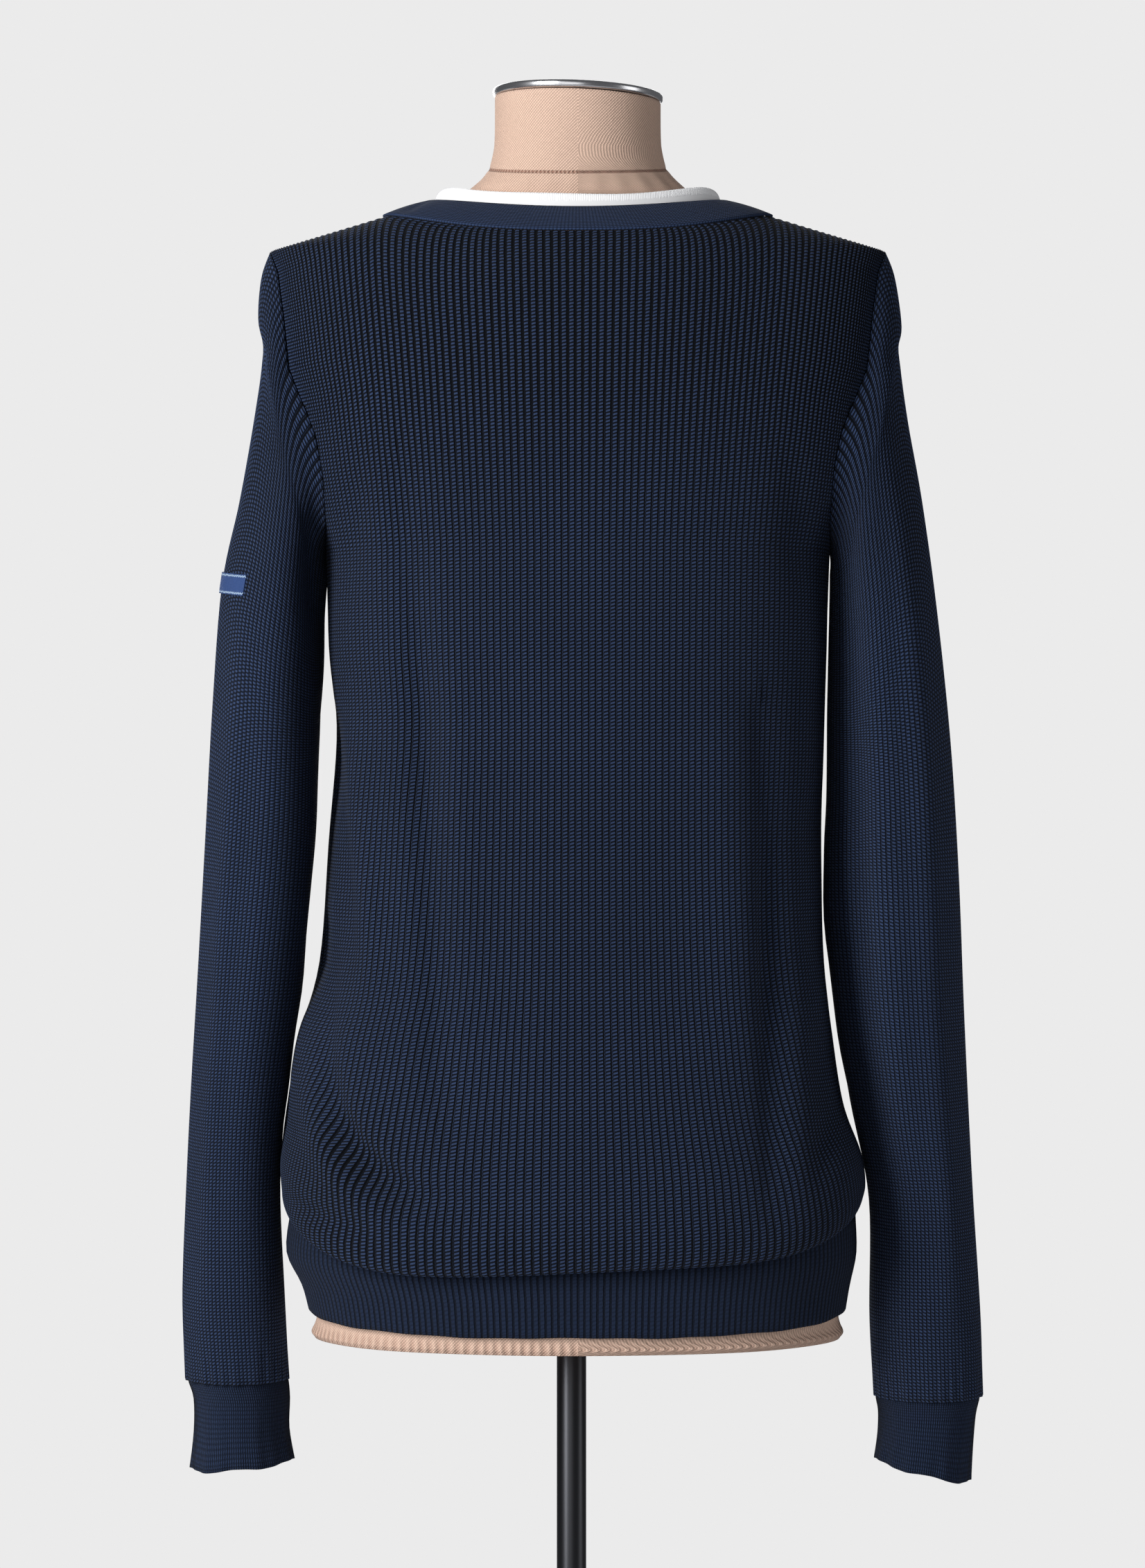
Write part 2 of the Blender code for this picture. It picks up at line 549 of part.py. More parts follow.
def sleeve_wall(table):
    columns = 2 * SLEEVE_RIBS
    turn = np.arange(columns) * 2 * math.pi / columns
    outer = []
    inner = []
    for v in range(len(table)):
        points, outward = sleeve_row(table, turn, float(v))
        points = points + outward * sleeve_fold_height(turn, v)[:, None]
        depth = GROOVE if 0 < v < len(table) - 1 else GROOVE / 2
        groove = np.where(np.arange(columns) % 2 == 1, 0.0, depth)
        outer.append(points - outward * groove[:, None])
        inner.append((points - outward * WALL)[::INSIDE_STEP])
    return np.array(outer), np.array(inner)


def cuff_wall(table, columns):
    turn = np.arange(columns) * 2 * math.pi / columns
    outer = []
    inner = []
    for row in table:
        points = oval(row, turn)
        inward = points - points.mean(axis=0)
        inward[:, 2] = 0
        inward /= np.linalg.norm(inward, axis=-1, keepdims=True)
        outer.append(points)
        inner.append(points - inward * WALL)
    return np.array(outer), np.array(inner)


def band_edges(side):
    """Rows of a front band's seam edge and free edge, from the hem to the shoulder seam."""
    out = BAND_STEP if side > 0 else -BAND_STEP
    seam = []
    free = []
    for row in HEM[:3]:
        seam.append((BAND_WIDTH / 2 - SEAM, -row.front - HALF_SEAM, row.height))
        free.append((-BAND_WIDTH / 2, -row.front - HALF_SEAM - out, row.height))
    for ring in BODY[5:]:
        seam.append((BAND_WIDTH / 2 - SEAM, -ring.front - HALF_SEAM, ring.height))
        free.append((-BAND_WIDTH / 2, -ring.front - HALF_SEAM - out, ring.height))
    for k in range(UPPER_ROWS):
        rise = (k + 1) / UPPER_ROWS
        x = meeting_x(neck_edge_x, -1, rise)
        at_seam = upper_points(-1, np.array([x]), rise)[0]
        run = np.array(BAND_RUN) * (1 - rise**3)
        run += np.array([BAND_TOP_X - NECK_POINT_X, BAND_TOP_HEIGHT - top_height(-1, NECK_POINT_X)]) * rise**3
        over = (x + run[0], at_seam[2] + run[1])
        depth = max(float(surface_depth(-1, *over)), 0)
        fade = max(0.0, 1 - rise / BAND_STEP_GONE)
        seam.append((x - SEAM, at_seam[1] - HALF_SEAM, at_seam[2]))
        free.append((over[0], -depth - HALF_SEAM - out * fade, over[1]))
    return np.array(seam), np.array(free)


def strip(seam, free, across, thickness, facing):
    """Outer and inner points of a strip of cloth between two edges, and the direction into the body."""
    shares = np.linspace(0, 1, across + 1)[None, :, None]
    outer = seam[:, None, :] * (1 - shares) + free[:, None, :] * shares
    inward = facing * np.cross(np.gradient(outer, axis=1), np.gradient(outer, axis=0))
    inward /= np.linalg.norm(inward, axis=-1, keepdims=True)
    return outer, outer + inward * thickness, inward


def neckband_edges(columns):
    """The back neckband's seam edge and free edge, from the right shoulder to the left."""
    turn = np.linspace(-math.pi / 2, math.pi / 2, columns + 1)
    x = NECK_POINT_X * np.sin(turn)
    height = top_height(1, x)
    y = surface_depth(1, x, height)
    seam = np.stack([x, np.maximum(y, 0) + HALF_SEAM, height + SEAM], axis=-1)
    seam[:, 0] *= 1 - SEAM / NECK_POINT_X
    rise = BAND_BACK_HEIGHT + (BAND_TOP_HEIGHT - BAND_BACK_HEIGHT) * np.sin(turn) ** 2
    free = np.stack([BAND_TOP_X * np.sin(turn), BAND_BACK_DEPTH * np.cos(turn) + HALF_SEAM, rise], axis=-1)
    return seam, free


def build_mesh(name, outer, inner, around, finish, step):
    """A closed wall between an outer and an inner grid. The inner one has every step-th column."""
    bm = bmesh.new()
    out = [[bm.verts.new(point) for point in row] for row in outer]
    ins = [[bm.verts.new(point) for point in row] for row in inner]

    def lattice(grid):
        count = len(grid[0])
        for low, high in zip(grid[:-1], grid[1:]):
            for j in range(count if around else count - 1):
                k = (j + 1) % count
                bm.faces.new((low[j], low[k], high[k], high[j]))

    def rim(outside, inside):
        count = len(inside)
        size = len(outside)
        for i in range(count if around else count - 1):
            here = inside[i]
            there = inside[(i + 1) % count]
            for j in range(step):
                a = outside[(i * step + j) % size]
                b = outside[(i * step + j + 1) % size]
                bm.faces.new((here if j < (step + 1) // 2 else there, a, b))
            bm.faces.new((here, outside[(i * step + (step + 1) // 2) % size], there))

    lattice(out)
    lattice(ins)
    rim(out[0], ins[0])
    rim(out[-1], ins[-1])
    if not around:
        for j in (0, -1):
            for low in range(len(out) - 1):
                bm.faces.new((out[low][j], out[low + 1][j], ins[low + 1][j], ins[low][j]))
    return finish_object(name, bm, finish)


def finish_object(name, bm, finish):
    bmesh.ops.remove_doubles(bm, verts=bm.verts, dist=2e-5)
    bmesh.ops.recalc_face_normals(bm, faces=bm.faces)
    mesh = bpy.data.meshes.new(name)
    bm.to_mesh(mesh)
    bm.free()
    return add_object(name, mesh, finish)


def add_object(name, mesh, finish):
    if not mesh.materials:
        mesh.materials.append(MATERIALS[finish])
    mesh.shade_smooth()
    mesh.set_sharp_from_angle(angle=math.radians(40))
    obj = bpy.data.objects.new(name, mesh)
    COLLECTION.objects.link(obj)
    return obj


def on_form(points, side=1):
    """Moves points from the form's own axis and bottom edge to their place, mirrored for the right side."""
    placed = np.array(points, float)
    placed[..., 0] = FORM_X + side * placed[..., 0]
    placed[..., 2] += FORM_BOTTOM
    return placed


def make_wall(name, walls, finish, around=False, step=1, side=1):
    outer, inner = walls
    return build_mesh(name, on_form(outer, side), on_form(inner, side), around, finish, step)


def make_body():
    make_wall("back", body_wall(1, 0, BACK_RIBS), "knit", step=INSIDE_STEP)
    make_wall("front_left", body_wall(-1, 1, FRONT_RIBS), "knit", step=INSIDE_STEP)
    make_wall("front_right", body_wall(-1, -1, FRONT_RIBS), "knit", step=INSIDE_STEP)
    make_wall("hem_back", hem_wall(1, -1, 1, 40), "fine_rib")
    make_wall("hem_front_left", hem_wall(-1, 0, 1, 18), "fine_rib")
    make_wall("hem_front_right", hem_wall(-1, -0.0, -1, 18), "fine_rib")


def make_sleeves():
    for name, table, cuff, side in (("left", LEFT_SLEEVE, LEFT_CUFF, 1), ("right", RIGHT_SLEEVE, RIGHT_CUFF, -1)):
        make_wall("sleeve_" + name, sleeve_wall(table), "knit", around=True, step=INSIDE_STEP, side=side)
        make_wall("cuff_" + name, cuff_wall(cuff, 20), "fine_rib", around=True, side=side)


def make_label():
    """A small woven label, whose points are the sleeve's own, moved out."""
    step = 180 / SLEEVE_RIBS
    crests = np.radians((2 * np.arange(LABEL_RIBS[0], LABEL_RIBS[1] + 1) + 1) * step)
    rows = []
    for v in range(3, 10):
        points, outward = sleeve_row(LEFT_SLEEVE, crests, float(v))
        rows.append((points + outward * sleeve_fold_height(crests, v)[:, None], outward))
    outer = []
    inner = []
    for share in (-0.5, 0.0, 0.5):
        low = []
        high = []
        for j, turn in enumerate(crests):
            heights = [-points[j, 2] for points, _ in rows]
            z = LABEL_HEIGHT - LABEL_TILT * turn + share * LABEL_WIDTH
            at = [np.interp(-z, heights, [points[j, k] for points, _ in rows]) for k in range(3)]
            out = np.array([np.interp(-z, heights, [outward[j, k] for _, outward in rows]) for k in range(3)])
            low.append(np.array(at) + out * LABEL_OFF)
            high.append(np.array(at) + out * (LABEL_OFF + LABEL_WALL))
        inner.append(low)
        outer.append(high)
    make_wall("sleeve_label", (np.array(outer), np.array(inner)), "woven_label")


def make_bands():
    for name, side in (("band_left", 1), ("band_right", -1)):
        seam, free = band_edges(side)
        outer, inner, _ = strip(seam, free, 2, BAND_WALL, 1)
        make_wall(name, (outer, inner), "fine_rib", side=side)
    seam, free = neckband_edges(20)
    outer, inner, _ = strip(seam, free, 2, BAND_WALL, 1)
    make_wall("neckband", (outer, inner), "fine_rib")
    # The white trim stands up inside the neckband's free edge.
    kept = slice(2, -2)
    turn = np.linspace(-1, 1, 21)
    end = np.clip((1 - np.abs(turn)) / TRIM_END, 0, 1)
    low = free * TRIM_LOW + (0, 0, -TRIM_TUCK)
    high = free * TRIM_HIGH
    high[:, 2] += TRIM_RISE * (1 - TRIM_DROP * (1 - end))
    outer, inner, _ = strip(low[kept], high[kept], 1, TRIM_WALL, -1)
    make_wall("neck_trim", (outer, inner), "white_rib")


def make_buttons():
    """Round buttons with a raised rim, flat on the left band."""
    seam, free = band_edges(1)
    middle = (seam + free) / 2
    for number, height in enumerate(BUTTON_HEIGHTS, start=1):
        y = float(np.interp(height, middle[:, 2], middle[:, 1]))
        above = float(np.interp(height + BUTTON_RADIUS, middle[:, 2], middle[:, 1]))
        below = float(np.interp(height - BUTTON_RADIUS, middle[:, 2], middle[:, 1]))
        lean = math.atan2(above - below, 2 * BUTTON_RADIUS)
        turn_in = math.atan2(BAND_STEP, BAND_WIDTH)
        under = np.linspace(-BUTTON_RADIUS, BUTTON_RADIUS, 9)
        plane = y + under * math.tan(lean)
        proud = float(np.max(plane - np.interp(height + under, middle[:, 2], middle[:, 1])))
        bm = bmesh.new()
        bmesh.ops.create_circle(bm, segments=16, radius=BUTTON_RADIUS, cap_ends=True)
        bm.faces.ensure_lookup_table()
        face = bm.faces[0]
        top = bmesh.ops.extrude_face_region(bm, geom=[face])["geom"]
        bmesh.ops.translate(bm, verts=[v for v in top if isinstance(v, bmesh.types.BMVert)],
                            vec=(0, 0, BUTTON_THICKNESS))
        cap = next(f for f in top if isinstance(f, bmesh.types.BMFace))
        bmesh.ops.inset_region(bm, faces=[cap], thickness=BUTTON_RADIUS * 0.24)
        bmesh.ops.inset_region(bm, faces=[cap], thickness=BUTTON_RADIUS * 0.08)
        bmesh.ops.translate(bm, verts=cap.verts, vec=(0, 0, -BUTTON_THICKNESS * 0.3))
        bmesh.ops.recalc_face_normals(bm, faces=bm.faces)
        mesh = bpy.data.meshes.new("button")
        bm.to_mesh(mesh)
        bm.free()
        obj = add_object(f"button_{number}", mesh, "button")
        # The button's back faces the band: its axis points out of the front, leaning with the cloth.
        obj.rotation_euler = (math.pi / 2 - lean, 0, turn_in)
        obj.location = (FORM_X, y - SEAM - max(proud, 0), FORM_BOTTOM + height)


def make_form():
    turn = np.arange(FORM_SIDES) * 2 * math.pi / FORM_SIDES
    bm = bmesh.new()
    rings = []
    for girth in FORM:
        c = np.sin(turn)
        s = np.cos(turn)
        x = girth.half_width * np.sign(c) * np.abs(c) ** (2 / girth.power)
        depth = np.where(s > 0, girth.back, girth.front)
        y = depth * np.sign(s) * np.abs(s) ** (2 / girth.power)
        tilted = min(max((girth.height - NECK_TILT_FROM) / (PLATE_HEIGHT - NECK_TILT_FROM), 0), 1)
        z = girth.height + tilted * NECK_TILT * x
        rings.append([bm.verts.new(p) for p in on_form(np.stack([x, y, z], axis=-1))])
    for low, high in zip(rings[:-1], rings[1:]):
        for j in range(FORM_SIDES):
            k = (j + 1) % FORM_SIDES
            bm.faces.new((low[j], low[k], high[k], high[j]))
    bm.faces.new(rings[0])
    bm.faces.new(rings[-1])
    finish_object("form", bm, "canvas")


def turned(name, profile, finish, steps):
    """A solid of revolution: the profile runs down its outer side, from the axis to the axis."""
    mesh = bpy.data.meshes.new(name)
    mesh.from_pydata([(x, 0, z) for x, z in profile], [(i, i + 1) for i in range(len(profile) - 1)], [])
    mesh.materials.append(MATERIALS[finish])
    obj = bpy.data.objects.new(name, mesh)
    COLLECTION.objects.link(obj)
    screw = obj.modifiers.new("turn", "SCREW")
    screw.steps = steps
    screw.render_steps = steps
    screw.use_merge_vertices = True
    screw.merge_threshold = 0.0001
    screw.use_smooth_shade = True
    return obj


def make_stand():
    edge = 0.0015
    half = PLATE_THICKNESS / 2
    plate = turned(
        "neck_plate",
        [(0, half), (PLATE_RADIUS - edge, half), (PLATE_RADIUS, half - edge),
         (PLATE_RADIUS, edge - half), (PLATE_RADIUS - edge, -half), (0, -half)],
        "chrome", 32,
    )
    plate.location = (FORM_X, 0, FORM_BOTTOM + PLATE_HEIGHT + SEAM + half)
    plate.rotation_euler = (0, -math.atan(NECK_TILT), 0)
    base = turned(
        "base",
        [(0, BASE_THICKNESS), (BASE_RADIUS - 2 * edge, BASE_THICKNESS),
         (BASE_RADIUS, BASE_THICKNESS - 2 * edge), (BASE_RADIUS, 0), (0, 0)],
        "gunmetal", 40,
    )
    base.location = (POLE_X, 0, 0)
    foot = BASE_THICKNESS + SEAM
    collar = turned(
        "pole_collar",
        [(POLE_RADIUS + SEAM, foot + COLLAR_HEIGHT), (COLLAR_RADIUS - edge, foot + COLLAR_HEIGHT),
         (COLLAR_RADIUS, foot + COLLAR_HEIGHT - edge), (COLLAR_RADIUS, foot),
         (POLE_RADIUS + SEAM, foot), (POLE_RADIUS + SEAM, foot + COLLAR_HEIGHT)],
        "gunmetal", 16,
    )
    collar.location = (POLE_X, 0, 0)
    top = FORM_BOTTOM - SEAM
    pole = turned("pole", [(0, top), (POLE_RADIUS, top), (POLE_RADIUS, foot), (0, foot)], "gunmetal", 16)
    pole.location = (POLE_X, 0, 0)


def make_materials():
    made = {}
    for name, (colour, roughness, metallic) in FINISHES.items():
        material = bpy.data.materials.new(name)
        material.use_nodes = True
        shader = material.node_tree.nodes["Principled BSDF"]
        shader.inputs["Base Color"].default_value = colour
        shader.inputs["Roughness"].default_value = roughness
        shader.inputs["Metallic"].default_value = metallic
        material.diffuse_color = colour
        made[name] = material
    return made


for old in list(bpy.data.objects):
    bpy.data.objects.remove(old)
COLLECTION = bpy.data.collections.new("cardigan_on_dress_form")
bpy.context.scene.collection.children.link(COLLECTION)
MATERIALS = make_materials()

make_body()
make_sleeves()
make_label()
make_bands()
make_buttons()
make_form()
make_stand()
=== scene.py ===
"""The looks of a ribbed V-neck cardigan, buttoned up on a limbless dress form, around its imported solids.

The front faces -Y, the wearer's left is +X, and the floor is z = 0. Lengths are metres.
Heights in the tables are measured up from the form's bottom edge, and widths from the form's axis.
"""

import math
from collections import namedtuple

import bmesh
import bpy
import numpy as np
from mathutils import Matrix, Vector


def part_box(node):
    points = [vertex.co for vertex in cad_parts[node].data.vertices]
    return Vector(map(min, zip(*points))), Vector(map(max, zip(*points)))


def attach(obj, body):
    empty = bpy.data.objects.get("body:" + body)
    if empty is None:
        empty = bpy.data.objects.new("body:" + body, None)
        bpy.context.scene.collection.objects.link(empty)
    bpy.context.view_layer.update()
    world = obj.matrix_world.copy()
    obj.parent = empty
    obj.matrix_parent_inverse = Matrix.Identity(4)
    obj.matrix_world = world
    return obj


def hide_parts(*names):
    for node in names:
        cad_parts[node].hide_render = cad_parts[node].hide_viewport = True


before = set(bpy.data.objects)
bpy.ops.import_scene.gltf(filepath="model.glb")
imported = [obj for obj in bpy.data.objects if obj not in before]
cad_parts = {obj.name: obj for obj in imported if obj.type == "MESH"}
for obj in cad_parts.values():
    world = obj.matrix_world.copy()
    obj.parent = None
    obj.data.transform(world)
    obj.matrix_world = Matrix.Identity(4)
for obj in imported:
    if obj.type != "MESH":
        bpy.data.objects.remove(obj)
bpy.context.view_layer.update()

bl_info = {
    "name": "Ribbed cardigan on a dress form",
    "version": (1, 0, 0),
    "blender": (4, 5, 0),
    "location": "3D View > Sidebar > Cardigan",
    "description": "Dresses the packed cardigan, its dress form and stand in knit, canvas and metal",
    "category": "Object",
}

# Stand
FORM_BOTTOM = 0.800
FORM_X = 0.0029
PLATE_RADIUS = 0.0515
PLATE_THICKNESS = 0.0045
PLATE_HEIGHT = 0.7479
NECK_TILT = 0.040
NECK_TILT_FROM = 0.720

# Cloth
SEAM = 0.0003
HALF_SEAM = 0.0002
TIP_GAP = 0.0001  # the armhole's seam closes up at the shoulder's tip
TIP_CLOSES = 0.012
STITCH_ROW = 0.00205
BACK_RIBS = 107
FRONT_RIBS = 52
SLEEVE_RIBS = 84
HEM_RIBS = 118
CUFF_RIBS = 136
RIB_SPREAD = 0.17
RIB_COLUMNS = 4  # columns of the mesh for each rib of the body, sleeves and hem
CUFF_RIB_COLUMNS = 2
CREST = 0.375  # where in a rib its highest line runs

# Shoulder and neckline
TIP_X = 0.186
TIP_HEIGHT = 0.6555
NECK_POINT_X = 0.118
SHOULDER_SLOPE = 0.302
BACK_NECK_HEIGHT = 0.6585
RIDGE_REACH = 0.985
RIDGE_ROUND = 0.010
NECK_CURVE = 2.5
V_HEIGHT = 0.480

# Front band, neckband and trim
BAND_WIDTH = 0.027
BAND_WALL = 0.0015
BAND_STEP = 0.0027
BAND_STEP_GONE = 0.5
BAND_RUN = (-0.0238, 0.0127)
BAND_TOP_X = 0.092
BAND_TOP_HEIGHT = 0.6848
BAND_BACK_DEPTH = 0.066
BAND_BACK_HEIGHT = 0.6744
TRIM_WALL = 0.0013
TRIM_RISE = 0.0086
TRIM_TUCK = 0.0030
TRIM_LOW = (0.965, 0.957, 1)
TRIM_HIGH = (0.955, 0.930, 1)
TRIM_END = 0.26
UPPER_ROWS = 6
BAND_COLUMNS = 16  # columns of the mesh across a band, one for each fine rib
BAND_LENGTH = 0.76
BAND_STITCH_ROW = 0.0017
BAND_POINTS = 0.005  # distance between the rows of the mesh up a front band
NECKBAND_MESH_ROWS = 240
NECKBAND_STITCHES = 165
NECKBAND_CREASE = 0.70  # where the neckband creases, from -1 at its right end to 1 at its left
TRIM_COLUMNS = 8
TRIM_STITCHES = 210
TRIM_SPAN = 0.86  # where the strip ends, on the same scale
TRIM_CUT = 14  # one part in this many of the neckband's length has no strip, at either end

Ring = namedtuple("Ring", "height left right back front power sway lift")
BODY = [
    Ring(0.0648, 0.1745, 0.1683, 0.1113, 0.1139, 2.25, 0.0000, 0.0090),
    Ring(0.0605, 0.1750, 0.1689, 0.1148, 0.1160, 2.30, 0.0015, 0.0165),
    Ring(0.0525, 0.1757, 0.1696, 0.1166, 0.1176, 2.35, 0.0030, 0.0285),
    Ring(0.0495, 0.1772, 0.1712, 0.1203, 0.1210, 2.50, 0.0035, 0.0340),
    Ring(0.0545, 0.1785, 0.1726, 0.1236, 0.1243, 2.60, 0.0035, 0.0340),
    Ring(0.0700, 0.1792, 0.1736, 0.1248, 0.1252, 2.60, 0.0025, 0.0250),
    Ring(0.1000, 0.1796, 0.1712, 0.1238, 0.1240, 2.55, 0.0010, 0.0110),
    Ring(0.1400, 0.1762, 0.1610, 0.1208, 0.1214, 2.45, 0.0000, 0.0000),
    Ring(0.1800, 0.1690, 0.1545, 0.1178, 0.1200, 2.40, 0.0000, 0.0000),
    Ring(0.2270, 0.1565, 0.1490, 0.1148, 0.1186, 2.40, 0.0000, 0.0000),
    Ring(0.3000, 0.1510, 0.1475, 0.1112, 0.1172, 2.40, 0.0000, 0.0000),
    Ring(0.3650, 0.1462, 0.1490, 0.1094, 0.1166, 2.40, 0.0000, 0.0000),
    Ring(0.4150, 0.1505, 0.1505, 0.1088, 0.1165, 2.40, 0.0000, 0.0000),
    Ring(0.4740, 0.1525, 0.1525, 0.1085, 0.1160, 2.40, 0.0000, 0.0000),
]
LIFT_POWER = 7
FOLDS_FROM = 4.0
SEAM_FADE = 0.05
SEAM_RELIEF = 0.2  # how much of the ribs' depth is left along the shoulder and neck seams
UNDERARM = BODY[-1]
# How many rows of the mesh each stretch of BODY gets
BODY_STRETCHES = ((0, 5, 16), (5, 8.5, 36), (8.5, 13, 28))
UPPER_MESH_ROWS = 26

# Where the body's ribs are stretched apart, from 0 to 1
OPEN_LEAST = 0.22
OPEN_SHOULDERS = 0.70
OPEN_FROM = 0.44
OPEN_RISE = 0.15
OPEN_BOTTOM = 0.45
Roll = namedtuple("Roll", "x height width tall amount")
ROLLS = (Roll(0.140, 0.110, 0.040, 0.040, 0.70), Roll(-0.150, 0.110, 0.030, 0.050, 0.35))

# How the ribs lean outwards at the hips: how much at which row of BODY, and how far on each side
DRIFT_ROWS = (0, 3, 5, 6.3, 7.4, 8.6, 9.8)
DRIFT_AT_ROWS = (0.95, 1.0, 0.90, 0.68, 0.34, 0.10, 0.0)
DRIFT_LEFT = 0.065
DRIFT_RIGHT = 0.050
DRIFT_POWER = 1.6

# How the ribs run in towards the neck at the top
FAN = 0.0115
FAN_FROM = 0.45
FAN_X = 0.098
FAN_WIDTH = 0.040

Shoulder = namedtuple("Shoulder", "height half_width back front power")
SHOULDERS = [
    Shoulder(0.4740, 0.1525, 0.1085, 0.1160, 2.40),
    Shoulder(0.5100, 0.1680, 0.1098, 0.1110, 2.40),
    Shoulder(0.5450, 0.1800, 0.1098, 0.1040, 2.35),
    Shoulder(0.5800, 0.1880, 0.1080, 0.0955, 2.30),
    Shoulder(0.6100, 0.1905, 0.1042, 0.0865, 2.20),
    Shoulder(0.6350, 0.1900, 0.0982, 0.0765, 2.10),
    Shoulder(0.6555, 0.1860, 0.0890, 0.0665, 2.00),
    Shoulder(0.6690, 0.1413, 0.0752, 0.0600, 2.00),
    Shoulder(0.6880, 0.0784, 0.0560, 0.0530, 2.00),
]

Armhole = namedtuple("Armhole", "height x")
ARMHOLE = [
    Armhole(0.4740, 0.1525),
    Armhole(0.4900, 0.1500),
    Armhole(0.5150, 0.1510),
    Armhole(0.5370, 0.1545),
    Armhole(0.5510, 0.1595),
    Armhole(0.5640, 0.1650),
    Armhole(0.5800, 0.1715),
    Armhole(0.6110, 0.1750),
    Armhole(0.6400, 0.1795),
    Armhole(0.6555, 0.1860),
]

Hem = namedtuple("Hem", "height left right back front lift")
HEM = [
    Hem(0.0108, 0.1629, 0.1622, 0.1106, 0.1132, 0.006),
    Hem(0.0300, 0.1672, 0.1648, 0.1107, 0.1133, 0.002),
    Hem(0.0480, 0.1762, 0.1686, 0.1109, 0.1135, 0.003),
    Hem(0.0643, 0.1742, 0.1680, 0.1111, 0.1137, 0.009),
]
HEM_POWER = 2.25
HEM_MESH_ROWS = 12

# Folds: points of the crease (across and up), how wide it is on its two sides, and how deep.
# A depth under zero is a trough and one over zero a ridge.
Fold = namedtuple("Fold", "path width far_width depth")
BACK_FOLDS = [
    Fold(((0.105, 0.518), (0.096, 0.427), (0.090, 0.314), (0.084, 0.225), (0.083, 0.150)), 0.016, 0.009, -0.0080),
    Fold(((0.089, 0.480), (0.078, 0.380), (0.071, 0.290), (0.066, 0.200)), 0.012, 0.016, 0.0022),
    Fold(((-0.108, 0.376), (-0.113, 0.300), (-0.114, 0.180), (-0.114, 0.084)), 0.014, 0.008, -0.0074),
    Fold(((-0.127, 0.280), (-0.130, 0.150), (-0.131, 0.075)), 0.010, 0.010, 0.0030),
    Fold(((0.151, 0.245), (0.1530, 0.205), (0.1515, 0.168), (0.1450, 0.141), (0.1335, 0.122), (0.1170, 0.107),
          (0.0940, 0.095), (0.0660, 0.089), (0.0420, 0.088)), 0.008, 0.011, -0.0108),
    Fold(((0.160, 0.215), (0.1600, 0.172), (0.157, 0.149), (0.150, 0.1255), (0.137, 0.0990), (0.1135, 0.079),
          (0.090, 0.073)), 0.009, 0.010, 0.0058),
    Fold(((0.180, 0.0850), (0.168, 0.0825), (0.150, 0.078), (0.126, 0.072)), 0.006, 0.006, -0.0068),
    Fold(((0.176, 0.150), (0.169, 0.118), (0.158, 0.096)), 0.008, 0.009, -0.0030),
    Fold(((0.1480, 0.372), (0.1450, 0.330), (0.1410, 0.284), (0.1380, 0.236), (0.1390, 0.200)), 0.007, 0.012, -0.0066),
    Fold(((0.1340, 0.385), (0.1310, 0.314), (0.1260, 0.262), (0.1210, 0.215)), 0.009, 0.007, 0.0032),
    Fold(((-0.144, 0.190), (-0.152, 0.138), (-0.140, 0.095)), 0.009, 0.011, -0.0040),
    Fold(((-0.140, 0.330), (-0.137, 0.270), (-0.141, 0.215)), 0.007, 0.010, -0.0028),
    Fold(((0.020, 0.420), (0.016, 0.280), (0.014, 0.110)), 0.030, 0.030, 0.0022),
    Fold(((-0.050, 0.440), (-0.055, 0.300), (-0.058, 0.130)), 0.024, 0.028, -0.0022),
    Fold(((-0.086, 0.400), (-0.090, 0.300), (-0.094, 0.170)), 0.014, 0.014, 0.0022),
    Fold(((0.044, 0.350), (0.046, 0.240), (0.048, 0.140)), 0.016, 0.018, -0.0014),
    Fold(((0.128, 0.520), (0.134, 0.480), (0.142, 0.440)), 0.010, 0.012, -0.0034),
    Fold(((-0.126, 0.525), (-0.133, 0.480), (-0.142, 0.436)), 0.010, 0.012, -0.0032),
    Fold(((-0.020, 0.092), (-0.060, 0.086), (-0.105, 0.092)), 0.010, 0.012, -0.0016),
    Fold(((0.110, 0.600), (0.060, 0.585), (0.020, 0.592)), 0.018, 0.018, -0.0008),
]
FRONT_FOLDS = [
    Fold(((0.070, 0.430), (0.076, 0.320), (0.074, 0.200)), 0.013, 0.019, -0.0036),
    Fold(((-0.066, 0.415), (-0.074, 0.300), (-0.080, 0.170)), 0.018, 0.013, -0.0034),
    Fold(((0.114, 0.260), (0.118, 0.180), (0.110, 0.110)), 0.013, 0.016, -0.0030),
    Fold(((-0.112, 0.330), (-0.116, 0.220), (-0.112, 0.120)), 0.015, 0.013, -0.0028),
    Fold(((0.100, 0.150), (0.078, 0.110), (0.048, 0.094)), 0.010, 0.015, -0.0036),
    Fold(((-0.128, 0.150), (-0.104, 0.112), (-0.070, 0.096)), 0.010, 0.015, -0.0034),
    Fold(((0.040, 0.360), (0.044, 0.260), (0.040, 0.160)), 0.018, 0.018, 0.0020),
    Fold(((-0.036, 0.300), (-0.040, 0.220), (-0.036, 0.140)), 0.016, 0.018, 0.0018),
    Fold(((0.124, 0.520), (0.132, 0.480), (0.142, 0.440)), 0.010, 0.012, -0.0030),
    Fold(((-0.124, 0.520), (-0.132, 0.480), (-0.142, 0.440)), 0.010, 0.012, -0.0030),
    Fold(((0.040, 0.450), (0.062, 0.500), (0.076, 0.560)), 0.014, 0.016, -0.0014),
    Fold(((-0.040, 0.450), (-0.060, 0.500), (-0.078, 0.550)), 0.014, 0.016, -0.0014),
]

